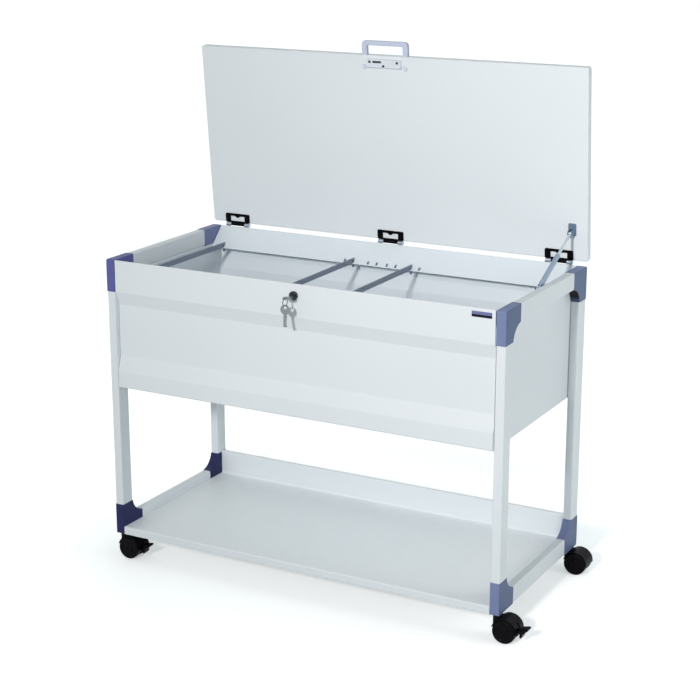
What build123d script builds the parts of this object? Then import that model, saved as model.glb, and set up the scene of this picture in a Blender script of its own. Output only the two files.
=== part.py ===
"""Suspension file trolley: a tube frame on casters carrying a file box with a hinged lid and a lower shelf.

Millimetres. X runs along the width, Y from front to back and Z up. The origin lies on the floor at the
centre of the frame's footprint. The lid is modelled standing open, held by its gas strut.
"""
from build123d import *
import os
from math import atan2, cos, degrees, hypot, radians, sin, sqrt

os.makedirs("parts", exist_ok=True)

# Overall frame, over the corner connectors
frame_width = 900.0
frame_depth = 412.0
frame_height = 608.0

# Flat rectangular tube of the posts and rails
tube_width = 19.0
tube_depth = 35.0
tube_wall = 1.5
tube_corner = 3.0

# Corner connectors, a little proud of the tube
corner_proud = 0.5
corner_up = 68.0
corner_along = 70.0
corner_nose = 4.0
corner_edge = 1.2
gusset_radius = 40.0
spigot_length = 30.0
spigot_gap = 0.1

# Sheet metal
sheet = 1.2
bend = 3.0
ridge_bend = 1.6
ridge_lift = 2.0
fit_gap = 0.3
rest_gap = 0.05

# Front and rear panels, levels measured from the frame's top or from the box's bottom edge
box_height = 275.0
panel_set_back = 0.5
panel_recess = 10.0
band_down = 68.0
field_down = 96.0
field_up = 69.5
ridge_up = 36.0
panel_return = 29.0
flange_run = 43.5
flange_drop = 43.0

# Side panels
side_flange = 15.0
side_end_gap = 2.0
side_return_gap = 6.5

# Shelf tray
shelf_level = 17.5
shelf_lip = 16.5
shelf_upstand = 53.5
shelf_back = 20.0
shelf_return = 9.0
shelf_side_lip = 13.0
shelf_side_gap = 0.2

# Suspension bars; the spacings are the file widths that the slots allow
bar_thickness = 3.0
bar_height = 10.8
bar_drop = 31.5
bar_tongue = 4.2
bar_end_gap = 2.0
bar_inset = 30.5
bar_seat_gap = 0.4
hung_spacing = 330.0
slot_spacings = (310.0, hung_spacing, 366.5, 387.0)
slot_gap = 0.9
slot_start = 36.0
slot_length = 6.0
tab_gap = 0.5
tab_depth = 9.0

# Lid
lid_gap = 3.5
lid_thickness = 15.0
lid_front_inset = 13.5
lid_edge_gap = 4.3
lid_corner = 5.0
lid_edge = 2.0
liner_gap = 0.1
liner_depth = 8.0
lid_open = 84.7

# Lid hinges
hinge_back = 3.8
hinge_inset = 63.0
knuckle_radius = 3.6
knuckle_inner = 17.5
knuckle_outer = 30.0
knuckle_gap = 0.4
knuckle_plate_gap = 1.0
hinge_pin_radius = 1.75
pin_clearance = 0.05
hinge_plate_drop = 38.0
hinge_plate_thickness = 1.5
leaf_width = 62.0
leaf_length = 25.0
leaf_thickness = 2.2
leaf_corner = 3.0
window_width = 37.0
window_start = 7.5
window_length = 12.0
tongue_width = 15.0
tongue_length = 4.5

# Handle and keeper on the lid's free edge
grip_width = 107.0
grip_reach = 29.0
grip_bar = 9.6
grip_leg = 12.2
grip_corner = 8.0
grip_inner_corner = 3.0
grip_edge = 2.0
grip_thickness = 10.0
foot_length = 26.0
peg_radius = 5.0
peg_proud = 1.5
peg_inset = 6.5
keeper_width = 80.0
keeper_length = 18.0
keeper_thickness = 1.5
keeper_rise = 4.5
keeper_corner = 3.0
keeper_offset = -3.0
keeper_slot_length = 21.0
keeper_slot_width = 4.4
keeper_slot_x = -15.0
screw_x = 32.0
screw_head_radius = 2.8
screw_head_height = 1.2
screw_head_taper = 25.0
screw_shank_radius = 1.5
screw_bite = 6.0
centre_screw_offset = -8.0

# Gas strut on the right
strut_inset = 14.0
strut_reach = 182.0
strut_drop = 13.7
strut_lid_along = 64.0
strut_lid_off = 12.0
strut_eye_width = 6.0
strut_eye_gap = 0.3
strut_low_eye = 5.0
strut_top_eye = 4.5
strut_tube_radius = 5.0
strut_tube_wall = 1.0
strut_tube_start = 12.0
strut_end_cap = 4.0
strut_rod_radius = 2.9
strut_clearance = 0.06
strut_top_margin = 8.0
piston_length = 6.0
piston_rest = 5.0
stud_radius = 2.5
stud_shoulder = 4.2
stud_cap = 4.0
stud_cap_width = 1.6
bracket_plate = 1.5
rail_bracket_length = 24.0
rail_bracket_height = 28.0
rail_bracket_centre = 16.0
lid_bracket_width = 17.0
lid_bracket_length = 26.0
lid_bracket_shift = 6.0
ear_thickness = 1.5
ear_length = 14.0
ear_margin = 3.5
rivet_radius = 3.0
rivet_height = 1.2

# Lock, keys and label
lock_drop = 24.0
cam_depth = 26.5
cam_thickness = 2.0
barrel_flange_radius = 9.0
barrel_flange_length = 5.5
barrel_radius = 8.0
barrel_hole_gap = 0.1
barrel_end = 24.0
plug_radius = 5.5
plug_clearance = 0.05
plug_proud = 1.5
stub_radius = 3.0
stub_proud = 3.0
nut_radius = 12.0
nut_height = 4.5
hook_plate_gap = 0.6
hook_lid_gap = 0.7
hook_tip = 173.0
hook_sweep = 77.0
hook_arm_sweep = 20.0
cam_hub = 7.0
cam_window_gap = 2.2
cam_window_start = 14.0
cam_window_end = 31.0
keyway_side_gap = 0.3
keyway_face_gap = 0.1
keyway_depth = 10.0
key_thickness = 2.0
key_bow_radius = 10.0
key_hole_radius = 3.6
key_hole_offset = 4.5
key_blade_width = 7.0
key_blade_start = 12.0
key_blade_end = 39.0
key_reach = 29.5
notch_depth = 2.0
notch_margin = 1.0
notch_pitch = 4.0
notch_count = 4
ring_radius = 8.0
ring_wire = 0.7
ring_gap = 0.25
label_width = 41.0
label_height = 11.0
label_thickness = 0.8
label_inset = 29.3
label_drop = 12.3

# Casters
wheel_radius = 24.0
wheel_shoulder = 3.5
wheel_chamfer = 1.5
wheel_web_gap = 0.4
wheel_outer = 22.0
wheel_dish = 1.2
wheel_rim = 6.0
wheel_hub = 8.0
wheel_dish_slope = 1.5
caster_trail = 21.0
axle_radius = 3.0
axle_end_gap = 0.4
axle_cover = 3.8
axle_clearance = 0.05
hood_web = 12.0
hood_wall = 1.5
hood_wheel_gap = 0.9
hood_side_inset = 2.0
hood_disc_inset = 3.0
hood_boss_rise = 0.6
hood_front = 165.0
hood_rear = -5.0
hood_top_gap = 2.0
column_front = 7.0
column_back = 14.0
boss_radius = 8.0
boss_height = 6.0
spindle_radius = 3.5
spindle_length = 22.5
collar_gap = 0.3
stem_radius = 5.5
stem_length = 30.0
socket_clearance = 0.05
lever_pivot_inset = 8.5
lever_pivot_z = 4.8
lever_pin_radius = 1.5
lever_boss_radius = 3.2
lever_arm = 4.6
lever_gap = 0.3
lever_arm_height = 4.0
lever_arm_lap = 5.0
pedal_half = 8.5
pedal_edge = 0.9
# Pedal's outline: distance past the hood's outside and height above the axle
pedal_outline = (
    (1.8, 7.5),
    (18.2, 11.6),
    (20.4, 9.4),
    (18.6, 6.4),
    (8.6, -1.8),
    (7.2, -8.6),
    (4.6, -11.5),
    (1.8, -9.5),
    (2.4, -3.0),
)

# Positions that follow from the sizes above
half_width = frame_width / 2
half_depth = frame_depth / 2
hood_inner = wheel_radius + hood_wheel_gap
hood_outer = hood_inner + hood_wall
hood_top = wheel_radius + hood_outer + hood_boss_rise
base_z = hood_top + hood_top_gap
top_z = base_z + frame_height
corner_width = tube_width + 2 * corner_proud
corner_depth = tube_depth + 2 * corner_proud
post_x = half_width - corner_width / 2
post_y = half_depth - corner_depth / 2
bay_x = half_width - corner_width
rail_face_x = bay_x + corner_proud
panel_half = bay_x - sheet - fit_gap
box_bottom = top_z - box_height
shelf_z = base_z + shelf_level
axis_y = half_depth + hinge_back
axis_z = top_z + lid_gap
lid_length = axis_y + half_depth - lid_edge_gap - lid_front_inset
lid_end = lid_edge_gap + lid_length
lid_middle = lid_edge_gap + lid_length / 2
lid_lean = radians(90 - lid_open)
lid_plane = Plane(
    origin=(0, axis_y, axis_z), x_dir=(1, 0, 0), z_dir=(0, -cos(lid_lean), -sin(lid_lean))
)
lid_normal = Axis(lid_plane.origin, lid_plane.z_dir)
hinge_centres = (hinge_inset - half_width, 0.0, half_width - hinge_inset)
end_bar_x = bay_x - bar_inset
hung_bar_x = end_bar_x - hung_spacing
slot_width = bar_thickness + 2 * slot_gap
slot_offsets = [end_bar_x] + [end_bar_x - spacing for spacing in slot_spacings]
lock_z = top_z - lock_drop
hook_inner = lock_drop + lid_gap - keeper_rise + hook_plate_gap
hook_outer = lock_drop + lid_gap - hook_lid_gap
cam_window_half = hook_outer + cam_window_gap
keeper_along = axis_y + half_depth - cam_depth
screw_spots = [
    (-screw_x, keeper_along),
    (screw_x, keeper_along),
    (0, keeper_along + centre_screw_offset),
]
leg_x = (grip_width - grip_leg) / 2
grip_end = lid_end + grip_reach
foot_end = lid_end - 2 * sheet - liner_gap - fit_gap - grip_inner_corner
peg_along = foot_end - foot_length + peg_inset
strut_x = bay_x - strut_inset
caster_spots = {
    "front_left": (-post_x, -post_y),
    "front_right": (post_x, -post_y),
    "rear_left": (-post_x, post_y),
    "rear_right": (post_x, post_y),
}


def keep(builder, label):
    """Name a finished piece and write it to its own file."""
    builder.part.label = label
    export_step(builder.part, f"parts/{label}.step")


def front_plane(depth):
    """Upright plane a given depth behind the frame's front face, drawn on from the front."""
    return Plane.XZ.offset(half_depth - depth)


def flange_level(depth):
    """Drop below the frame's top of the sloping flange's upper face at a depth from the outer face."""
    return (depth - panel_set_back) * (flange_drop + ridge_lift) / flange_run - ridge_lift


# Posts and rails
def post(label, x, y):
    with BuildPart() as tube:
        with BuildSketch(Plane.XY.offset(base_z + corner_up)):
            with Locations((x, y)):
                RectangleRounded(tube_width, tube_depth, tube_corner)
                RectangleRounded(
                    tube_width - 2 * tube_wall,
                    tube_depth - 2 * tube_wall,
                    tube_corner - tube_wall,
                    mode=Mode.SUBTRACT,
                )
        extrude(amount=frame_height - 2 * corner_up)
    keep(tube, label)


def rail(label, x, z):
    with BuildPart() as tube:
        with BuildSketch(Plane.XZ):
            with Locations((x, z)):
                RectangleRounded(tube_width, tube_depth, tube_corner)
                RectangleRounded(
                    tube_width - 2 * tube_wall,
                    tube_depth - 2 * tube_wall,
                    tube_corner - tube_wall,
                    mode=Mode.SUBTRACT,
                )
        extrude(amount=half_depth - corner_along, both=True)
    keep(tube, label)


for spot, (spot_x, spot_y) in caster_spots.items():
    post(f"{spot}_post", spot_x, spot_y)
for side_name, side in (("left", -1), ("right", 1)):
    rail(f"{side_name}_top_rail", side * post_x, top_z - corner_depth / 2)
    rail(f"{side_name}_bottom_rail", side * post_x, base_z + corner_depth / 2)


# Corner connectors: an L of two legs with a hollow gusset, spigots in the tubes, and caster sockets below
def corner_set(label, upper):
    end_z = top_z if upper else base_z
    inward = -1 if upper else 1
    gusset_chord = hypot(corner_along - corner_depth, corner_up - corner_depth)
    gusset_rise = gusset_radius - sqrt(gusset_radius**2 - gusset_chord**2 / 4)
    gusset_d = (corner_along + corner_depth) / 2 - gusset_rise * cos(radians(45))
    gusset_h = (corner_up + corner_depth) / 2 - gusset_rise * cos(radians(45))
    nose = corner_nose * (1 - cos(radians(45)))
    spigot_x = tube_width - 2 * tube_wall - 2 * spigot_gap
    spigot_y = tube_depth - 2 * tube_wall - 2 * spigot_gap
    with BuildPart() as corners:
        for x_side in (-1, 1):
            for y_side in (-1, 1):

                def at(depth, height):
                    return (y_side * (half_depth - depth), end_z + inward * height)

                with BuildSketch(Plane.YZ.offset(x_side * post_x - corner_width / 2)):
                    with BuildLine():
                        Polyline(at(corner_depth, corner_up), at(0, corner_up), at(0, corner_nose))
                        ThreePointArc(at(0, corner_nose), at(nose, nose), at(corner_nose, 0))
                        Polyline(at(corner_nose, 0), at(corner_along, 0), at(corner_along, corner_depth))
                        ThreePointArc(
                            at(corner_along, corner_depth),
                            at(gusset_d, gusset_h),
                            at(corner_depth, corner_up),
                        )
                    make_face()
                extrude(amount=corner_width)
        fillet(corners.faces().filter_by(Axis.X).edges(), corner_edge)
        for x_side in (-1, 1):
            for y_side in (-1, 1):
                with BuildSketch(Plane.XY.offset(end_z + inward * corner_up)):
                    with Locations((x_side * post_x, y_side * post_y)):
                        RectangleRounded(spigot_x, spigot_y, tube_corner - tube_wall)
                extrude(amount=inward * spigot_length)
                with BuildSketch(Plane.XZ.offset(-y_side * (half_depth - corner_along))):
                    with Locations((x_side * post_x, end_z + inward * corner_depth / 2)):
                        RectangleRounded(spigot_x, spigot_y, tube_corner - tube_wall)
                extrude(amount=y_side * spigot_length)
        if not upper:
            with BuildSketch(Plane.XY.offset(base_z)):
                with Locations(*caster_spots.values()):
                    Circle(stem_radius + socket_clearance)
            extrude(amount=stem_length + fit_gap, mode=Mode.SUBTRACT)
    keep(corners, label)


corner_set("top_corner_connectors", True)
corner_set("bottom_corner_connectors", False)


# Front and rear panels: one folded section, with slots in the sloping flange for the bars
def wall_panel(label, y_side):
    def at(depth, z):
        return (y_side * (half_depth - depth), z)

    recess = panel_set_back + panel_recess
    section = [
        at(panel_set_back + flange_run, top_z - flange_drop),
        at(panel_set_back, top_z + ridge_lift),
        at(panel_set_back, top_z - band_down),
        at(recess, top_z - field_down),
        at(recess, box_bottom + field_up),
        at(panel_set_back, box_bottom + ridge_up),
        at(panel_set_back, box_bottom),
        at(panel_set_back + panel_return, box_bottom),
    ]
    radii = [ridge_bend] + [bend] * (len(section) - 3)
    slot_y = y_side * (half_depth - slot_start - slot_length / 2)
    flange_floor = top_z - flange_drop - 2 * sheet
    with BuildPart() as panel:
        with BuildSketch(Plane.YZ):
            with BuildLine():
                FilletPolyline(*section, radius=radii)
                offset(amount=sheet, side=Side.LEFT if y_side < 0 else Side.RIGHT)
            make_face()
        extrude(amount=panel_half, both=True)
        with BuildSketch(Plane.XY.offset(flange_floor)):
            with Locations(*[(sx * x, slot_y) for x in slot_offsets for sx in (-1, 1)]):
                Rectangle(slot_width, slot_length)
        extrude(amount=flange_drop, mode=Mode.SUBTRACT)
        if y_side < 0:
            window_y = (cam_window_start + cam_window_end) / 2 - half_depth
            with BuildSketch(Plane.XY.offset(flange_floor)):
                with Locations((0, window_y)):
                    Rectangle(2 * cam_window_half, cam_window_end - cam_window_start)
            extrude(amount=flange_drop, mode=Mode.SUBTRACT)
            with BuildSketch(front_plane(panel_set_back + 2 * sheet)):
                with Locations((0, lock_z)):
                    Circle(barrel_radius + barrel_hole_gap)
            extrude(amount=4 * sheet, mode=Mode.SUBTRACT)
    keep(panel, label)


wall_panel("front_panel", -1)
wall_panel("rear_panel", 1)


# Side panels stand inside the posts; the top flange tucks under the rail, the bottom one carries the floor
def side_panel(label, side):
    under_rail = top_z - corner_depth + corner_proud - sheet - rest_gap
    section = [
        (side * (bay_x + side_flange), under_rail),
        (side * bay_x, under_rail),
        (side * bay_x, box_bottom),
        (side * (bay_x - side_flange), box_bottom),
    ]
    depth_half = half_depth - side_end_gap
    flange_cut = corner_along - side_end_gap + fit_gap
    return_cut = panel_set_back + panel_return + side_return_gap - side_end_gap
    with BuildPart() as panel:
        with BuildSketch(Plane.XZ):
            with BuildLine():
                FilletPolyline(*section, radius=bend)
                offset(amount=sheet, side=Side.RIGHT if side > 0 else Side.LEFT)
            make_face()
        extrude(amount=depth_half, both=True)
        for y_side in (-1, 1):
            with BuildSketch(Plane.XY.offset(under_rail - 2 * bend)):
                with Locations((side * (bay_x + side_flange), y_side * (depth_half - flange_cut / 2))):
                    Rectangle(2 * side_flange, flange_cut)
            extrude(amount=4 * bend, mode=Mode.SUBTRACT)
            return_x = side * (bay_x - sheet - side_flange)
            with BuildSketch(Plane.XY.offset(box_bottom - bend)):
                with Locations((return_x, y_side * (depth_half - return_cut / 2))):
                    Rectangle(2 * side_flange, return_cut)
            extrude(amount=3 * bend, mode=Mode.SUBTRACT)
    keep(panel, label)


side_panel("left_side_panel", -1)
side_panel("right_side_panel", 1)

# Floor of the box, lying on the panels' bottom flanges
floor_half_depth = half_depth - panel_set_back - panel_recess - sheet - bend
with BuildPart() as box_floor:
    with BuildSketch(Plane.XY.offset(box_bottom + sheet + rest_gap)):
        Rectangle(2 * (panel_half - bend), 2 * floor_half_depth)
    extrude(amount=sheet)
keep(box_floor, "box_floor")

# Shelf tray: front lip, flat shelf, rear upstand, and lips down along the bottom rails
upstand_y = half_depth - shelf_back
shelf_half = bay_x - shelf_side_gap
with BuildPart() as shelf_tray:
    with BuildSketch(Plane.YZ):
        with BuildLine():
            FilletPolyline(
                (panel_set_back - half_depth, shelf_z - shelf_lip),
                (panel_set_back - half_depth, shelf_z),
                (upstand_y, shelf_z),
                (upstand_y, shelf_z + shelf_upstand),
                (upstand_y + shelf_return, shelf_z + shelf_upstand),
                radius=bend,
            )
            offset(amount=sheet, side=Side.RIGHT)
        make_face()
    extrude(amount=shelf_half, both=True)
    with BuildSketch(Plane.XY.offset(shelf_z - sheet / 2)):
        with Locations((shelf_half - sheet / 2, -shelf_back), (sheet / 2 - shelf_half, -shelf_back)):
            Rectangle(sheet, frame_depth - 4 * shelf_back)
    extrude(amount=-shelf_side_lip)
keep(shelf_tray, "shelf_tray")


# Suspension bars: a tongue at each end lies on the sloping flange and drops a tab through its slot
def file_bar(label, x):
    bar_top = top_z - bar_drop
    bar_low = bar_top - bar_height

    def slope_depth(z):
        level = top_z - z + bar_seat_gap
        return panel_set_back + (level + ridge_lift) * flange_run / (flange_drop + ridge_lift)

    tab_near = slot_start + slot_length - tab_gap
    tab_far = slot_start + tab_gap
    tab_z = bar_low - tab_depth
    tongue_low = bar_top - bar_tongue
    body_end = panel_set_back + flange_run + bar_end_gap
    half = [
        (slope_depth(bar_top), bar_top),
        (tab_far, top_z - flange_level(tab_far) + bar_seat_gap),
        (tab_far, tab_z),
        (tab_near, tab_z),
        (tab_near, tongue_low),
        (body_end, tongue_low),
        (body_end, bar_low),
    ]
    front = [(depth - half_depth, z) for depth, z in half]
    rear = [(half_depth - depth, z) for depth, z in reversed(half)]
    with BuildPart() as bar:
        with BuildSketch(Plane.YZ.offset(x)):
            with BuildLine():
                Polyline(*front, *rear, close=True)
            make_face()
        extrude(amount=bar_thickness / 2, both=True)
    keep(bar, label)


for side_name, side in (("left", -1), ("right", 1)):
    file_bar(f"{side_name}_end_bar", side * end_bar_x)
    file_bar(f"{side_name}_middle_bar", side * hung_bar_x)

# Lid: a folded pan closed by a liner, both drawn in the plane of the lid's inner face; the handle's legs
# pass through slots in both rims
with BuildPart() as lid_pan:
    with BuildSketch(lid_plane):
        with Locations((0, lid_middle)):
            RectangleRounded(frame_width, lid_length, lid_corner)
    extrude(amount=-lid_thickness)
    fillet(lid_pan.faces().sort_by(lid_normal)[0].edges(), lid_edge)
    with BuildSketch(lid_plane):
        with Locations((0, lid_middle)):
            RectangleRounded(frame_width - 2 * sheet, lid_length - 2 * sheet, lid_corner - sheet)
    extrude(amount=sheet - lid_thickness, mode=Mode.SUBTRACT)
    with BuildSketch(lid_plane.offset(-sheet)):
        with Locations((-leg_x, lid_end), (leg_x, lid_end)):
            Rectangle(grip_leg + 2 * fit_gap, 4 * sheet)
    extrude(amount=-grip_thickness - 2 * fit_gap, mode=Mode.SUBTRACT)
keep(lid_pan, "lid_pan")

liner_width = frame_width - 2 * sheet - 2 * liner_gap
liner_length = lid_length - 2 * sheet - 2 * liner_gap
with BuildPart() as lid_liner:
    with BuildSketch(lid_plane):
        with Locations((0, lid_middle)):
            RectangleRounded(liner_width, liner_length, lid_corner - sheet)
    extrude(amount=-liner_depth)
    with BuildSketch(lid_plane.offset(-sheet)):
        with Locations((0, lid_middle)):
            RectangleRounded(liner_width - 2 * sheet, liner_length - 2 * sheet, lid_corner - 2 * sheet)
    extrude(amount=-liner_depth, mode=Mode.SUBTRACT)
    with BuildSketch(lid_plane.offset(-sheet)):
        with Locations((-leg_x, lid_end - 2 * sheet), (leg_x, lid_end - 2 * sheet)):
            Rectangle(grip_leg + 2 * fit_gap, 4 * sheet)
    extrude(amount=-liner_depth, mode=Mode.SUBTRACT)
    with BuildSketch(lid_plane):
        with Locations((-leg_x, peg_along), (leg_x, peg_along)):
            Circle(peg_radius + fit_gap)
        with Locations(*screw_spots):
            Circle(screw_shank_radius + pin_clearance)
    extrude(amount=-sheet, mode=Mode.SUBTRACT)
keep(lid_liner, "lid_liner")

# Hinges: metal base on the rear panel with two knuckles, pin, and a windowed leaf on the lid
plate_y = half_depth - panel_set_back
plate_top = axis_z - knuckle_radius - knuckle_plate_gap
with BuildPart() as hinge_bases:
    for hinge_x in hinge_centres:
        with BuildSketch(Plane.XZ.offset(-plate_y)):
            with Locations((hinge_x, plate_top - hinge_plate_drop / 2)):
                Rectangle(2 * knuckle_outer, hinge_plate_drop)
        extrude(amount=-hinge_plate_thickness)
        for start in (-knuckle_outer, knuckle_inner):
            with BuildSketch(Plane.YZ.offset(hinge_x + start)):
                with Locations((axis_y, axis_z)):
                    Circle(knuckle_radius)
                with Locations((plate_y + hinge_plate_thickness / 2, axis_z - knuckle_radius)):
                    Rectangle(hinge_plate_thickness, 2 * knuckle_radius)
            extrude(amount=knuckle_outer - knuckle_inner)
        with BuildSketch(Plane.YZ.offset(hinge_x)):
            with Locations((axis_y, axis_z)):
                Circle(hinge_pin_radius + pin_clearance)
        extrude(amount=leaf_width, both=True, mode=Mode.SUBTRACT)
keep(hinge_bases, "hinge_bases")

with BuildPart() as hinge_pins:
    for hinge_x in hinge_centres:
        with BuildSketch(Plane.YZ.offset(hinge_x)):
            with Locations((axis_y, axis_z)):
                Circle(hinge_pin_radius)
        extrude(amount=knuckle_outer + knuckle_gap, both=True)
keep(hinge_pins, "hinge_pins")

neck_half = knuckle_inner - knuckle_gap
leaf_start = lid_edge_gap + fit_gap
window_end = window_start + window_length
with BuildPart() as hinge_leaves:
    for hinge_x in hinge_centres:
        with BuildSketch(lid_plane):
            with Locations((hinge_x, (leaf_start + leaf_length) / 2)):
                RectangleRounded(leaf_width, leaf_length - leaf_start, leaf_corner)
            with Locations((hinge_x, window_start / 2)):
                Rectangle(2 * neck_half, window_start)
            with Locations((hinge_x, window_start + window_length / 2)):
                Rectangle(window_width, window_length, mode=Mode.SUBTRACT)
            with BuildLine():
                Polyline(
                    (hinge_x - tongue_width / 2, window_end),
                    (hinge_x, window_end - tongue_length),
                    (hinge_x + tongue_width / 2, window_end),
                    close=True,
                )
            make_face()
        extrude(amount=leaf_thickness)
        with BuildSketch(Plane.YZ.offset(hinge_x)):
            with Locations((axis_y, axis_z)):
                Circle(knuckle_radius)
        extrude(amount=neck_half, both=True)
        with BuildSketch(Plane.YZ.offset(hinge_x)):
            with Locations((axis_y, axis_z)):
                Circle(hinge_pin_radius + pin_clearance)
        extrude(amount=leaf_width, both=True, mode=Mode.SUBTRACT)
keep(hinge_leaves, "hinge_leaves")

# Handle: a closed loop whose legs enter the lid's edge; its foot lies behind the liner, and two pegs on the
# foot show through the liner
grip_plane = lid_plane.offset(-sheet - fit_gap)
grip_opening = grip_width - 2 * grip_leg
with BuildPart() as lid_handle:
    with BuildSketch(grip_plane) as grip_sketch:
        with Locations((0, (foot_end - foot_length + grip_end) / 2)):
            Rectangle(grip_width, grip_end - foot_end + foot_length)
        fillet(grip_sketch.vertices().group_by(Axis.Y)[-1], grip_corner)
        fillet(grip_sketch.vertices().group_by(Axis.Y)[0], grip_inner_corner)
        with Locations((0, (foot_end + grip_end - grip_bar) / 2)):
            RectangleRounded(
                grip_opening, grip_end - grip_bar - foot_end, grip_inner_corner, mode=Mode.SUBTRACT
            )
    extrude(amount=-grip_thickness)
    fillet(lid_handle.faces().filter_by(lid_normal).edges(), grip_edge)
    with BuildSketch(grip_plane):
        with Locations((-leg_x, peg_along), (leg_x, peg_along)):
            Circle(peg_radius)
    extrude(amount=sheet + fit_gap + peg_proud)
    with BuildSketch(grip_plane):
        with Locations(*screw_spots):
            Circle(screw_shank_radius + pin_clearance)
    extrude(amount=-screw_bite - pin_clearance, mode=Mode.SUBTRACT)
keep(lid_handle, "lid_handle")

# Keeper: a shallow box on the liner with a slot for the lock's hook, and a spacer round each screw
with BuildPart() as keeper_plate:
    with BuildSketch(lid_plane):
        with Locations((0, keeper_along + keeper_offset)):
            RectangleRounded(keeper_width, keeper_length, keeper_corner)
    extrude(amount=keeper_rise + keeper_thickness)
    fillet(keeper_plate.faces().sort_by(lid_normal)[-1].edges(), keeper_thickness / 2)
    with BuildSketch(lid_plane):
        with Locations((0, keeper_along + keeper_offset)):
            RectangleRounded(
                keeper_width - 2 * keeper_thickness,
                keeper_length - 2 * keeper_thickness,
                keeper_corner - keeper_thickness,
            )
    extrude(amount=keeper_rise, mode=Mode.SUBTRACT)
    with BuildSketch(lid_plane):
        with Locations(*screw_spots):
            Circle(screw_head_radius)
    extrude(amount=keeper_rise)
    with BuildSketch(lid_plane):
        with Locations((keeper_slot_x, keeper_along)):
            SlotOverall(keeper_slot_length, keeper_slot_width)
        with Locations(*screw_spots):
            Circle(screw_shank_radius + pin_clearance)
    extrude(amount=keeper_rise + keeper_thickness, mode=Mode.SUBTRACT)
keep(keeper_plate, "keeper_plate")

with BuildPart() as keeper_screws:
    with BuildSketch(lid_plane.offset(keeper_rise + keeper_thickness)):
        with Locations(*screw_spots):
            Circle(screw_head_radius)
    extrude(amount=screw_head_height, taper=screw_head_taper)
    with BuildSketch(lid_plane.offset(keeper_rise + keeper_thickness)):
        with Locations(*screw_spots):
            Circle(screw_shank_radius)
    extrude(amount=-keeper_rise - keeper_thickness - sheet - fit_gap - screw_bite)
keep(keeper_screws, "keeper_screws")

# Gas strut: the pivots fix the open and the closed length, and the cylinder fits the closed one
low_y = axis_y - strut_reach
low_z = top_z - strut_drop
up_y = axis_y - strut_lid_along * sin(lid_lean) - strut_lid_off * cos(lid_lean)
up_z = axis_z + strut_lid_along * cos(lid_lean) - strut_lid_off * sin(lid_lean)
strut_open = hypot(up_y - low_y, up_z - low_z)
strut_angle = atan2(up_z - low_z, up_y - low_y)
shut_y = axis_y - strut_lid_along
shut_z = axis_z - strut_lid_off
strut_shut = hypot(shut_y - low_y, shut_z - low_z)
strut_turn = degrees(atan2(shut_z - low_z, shut_y - low_y) - strut_angle)
strut_tube_end = strut_shut - strut_top_margin
strut_plane = Plane(
    origin=(strut_x, low_y, low_z), x_dir=(1, 0, 0), z_dir=(0, cos(strut_angle), sin(strut_angle))
)
eye_start = strut_x - strut_eye_width / 2
bore_start = strut_tube_start + strut_end_cap
bore_end = strut_tube_end - strut_end_cap
bore_radius = strut_tube_radius - strut_tube_wall
piston_end = bore_end - piston_rest
print("strut open", round(strut_open, 3), "shut", round(strut_shut, 3), "turn", round(strut_turn, 3))
print("strut pivot", round(low_y, 3), round(low_z, 3), "angle", round(degrees(strut_angle), 3))

with BuildPart() as strut_cylinder:
    with BuildSketch(Plane.YZ.offset(eye_start)):
        with Locations((low_y, low_z)):
            Circle(strut_low_eye)
    extrude(amount=strut_eye_width)
    with BuildSketch(strut_plane.offset(strut_low_eye / 2)):
        Circle(strut_eye_width / 2)
    extrude(amount=strut_tube_start)
    with BuildSketch(strut_plane.offset(strut_tube_start)):
        Circle(strut_tube_radius)
    extrude(amount=strut_tube_end - strut_tube_start)
    with BuildSketch(strut_plane.offset(bore_start)):
        Circle(bore_radius)
    extrude(amount=bore_end - bore_start, mode=Mode.SUBTRACT)
    with BuildSketch(strut_plane.offset(bore_start)):
        Circle(strut_rod_radius + strut_clearance)
    extrude(amount=strut_tube_end, mode=Mode.SUBTRACT)
    with BuildSketch(Plane.YZ.offset(strut_x)):
        with Locations((low_y, low_z)):
            Circle(stud_radius + pin_clearance)
    extrude(amount=strut_eye_width, both=True, mode=Mode.SUBTRACT)
keep(strut_cylinder, "strut_cylinder")

with BuildPart() as strut_rod:
    with BuildSketch(strut_plane.offset(piston_end - piston_length)):
        Circle(bore_radius - strut_clearance)
    extrude(amount=piston_length)
    with BuildSketch(strut_plane.offset(piston_end)):
        Circle(strut_rod_radius)
    extrude(amount=strut_open - piston_end - strut_top_eye / 2)
    with BuildSketch(Plane.YZ.offset(eye_start)):
        with Locations((up_y, up_z)):
            Circle(strut_top_eye)
    extrude(amount=strut_eye_width)
keep(strut_rod, "strut_rod")

with BuildPart() as strut_rail_bracket:
    with BuildSketch(Plane.YZ.offset(rail_face_x)):
        with Locations((low_y, top_z - rail_bracket_centre)):
            RectangleRounded(rail_bracket_length, rail_bracket_height, corner_nose)
    extrude(amount=-bracket_plate)
    with BuildSketch(Plane.YZ.offset(rail_face_x - bracket_plate)):
        with Locations((low_y, low_z)):
            Circle(stud_shoulder)
    extrude(amount=eye_start + strut_eye_width + strut_eye_gap - rail_face_x + bracket_plate)
    with BuildSketch(Plane.YZ.offset(rail_face_x - bracket_plate)):
        with Locations((low_y, low_z)):
            Circle(stud_radius)
    extrude(amount=eye_start - strut_eye_gap - stud_cap_width - rail_face_x + bracket_plate)
    with BuildSketch(Plane.YZ.offset(eye_start - strut_eye_gap)):
        with Locations((low_y, low_z)):
            Circle(stud_cap)
    extrude(amount=-stud_cap_width)
keep(strut_rail_bracket, "strut_rail_bracket")

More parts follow.
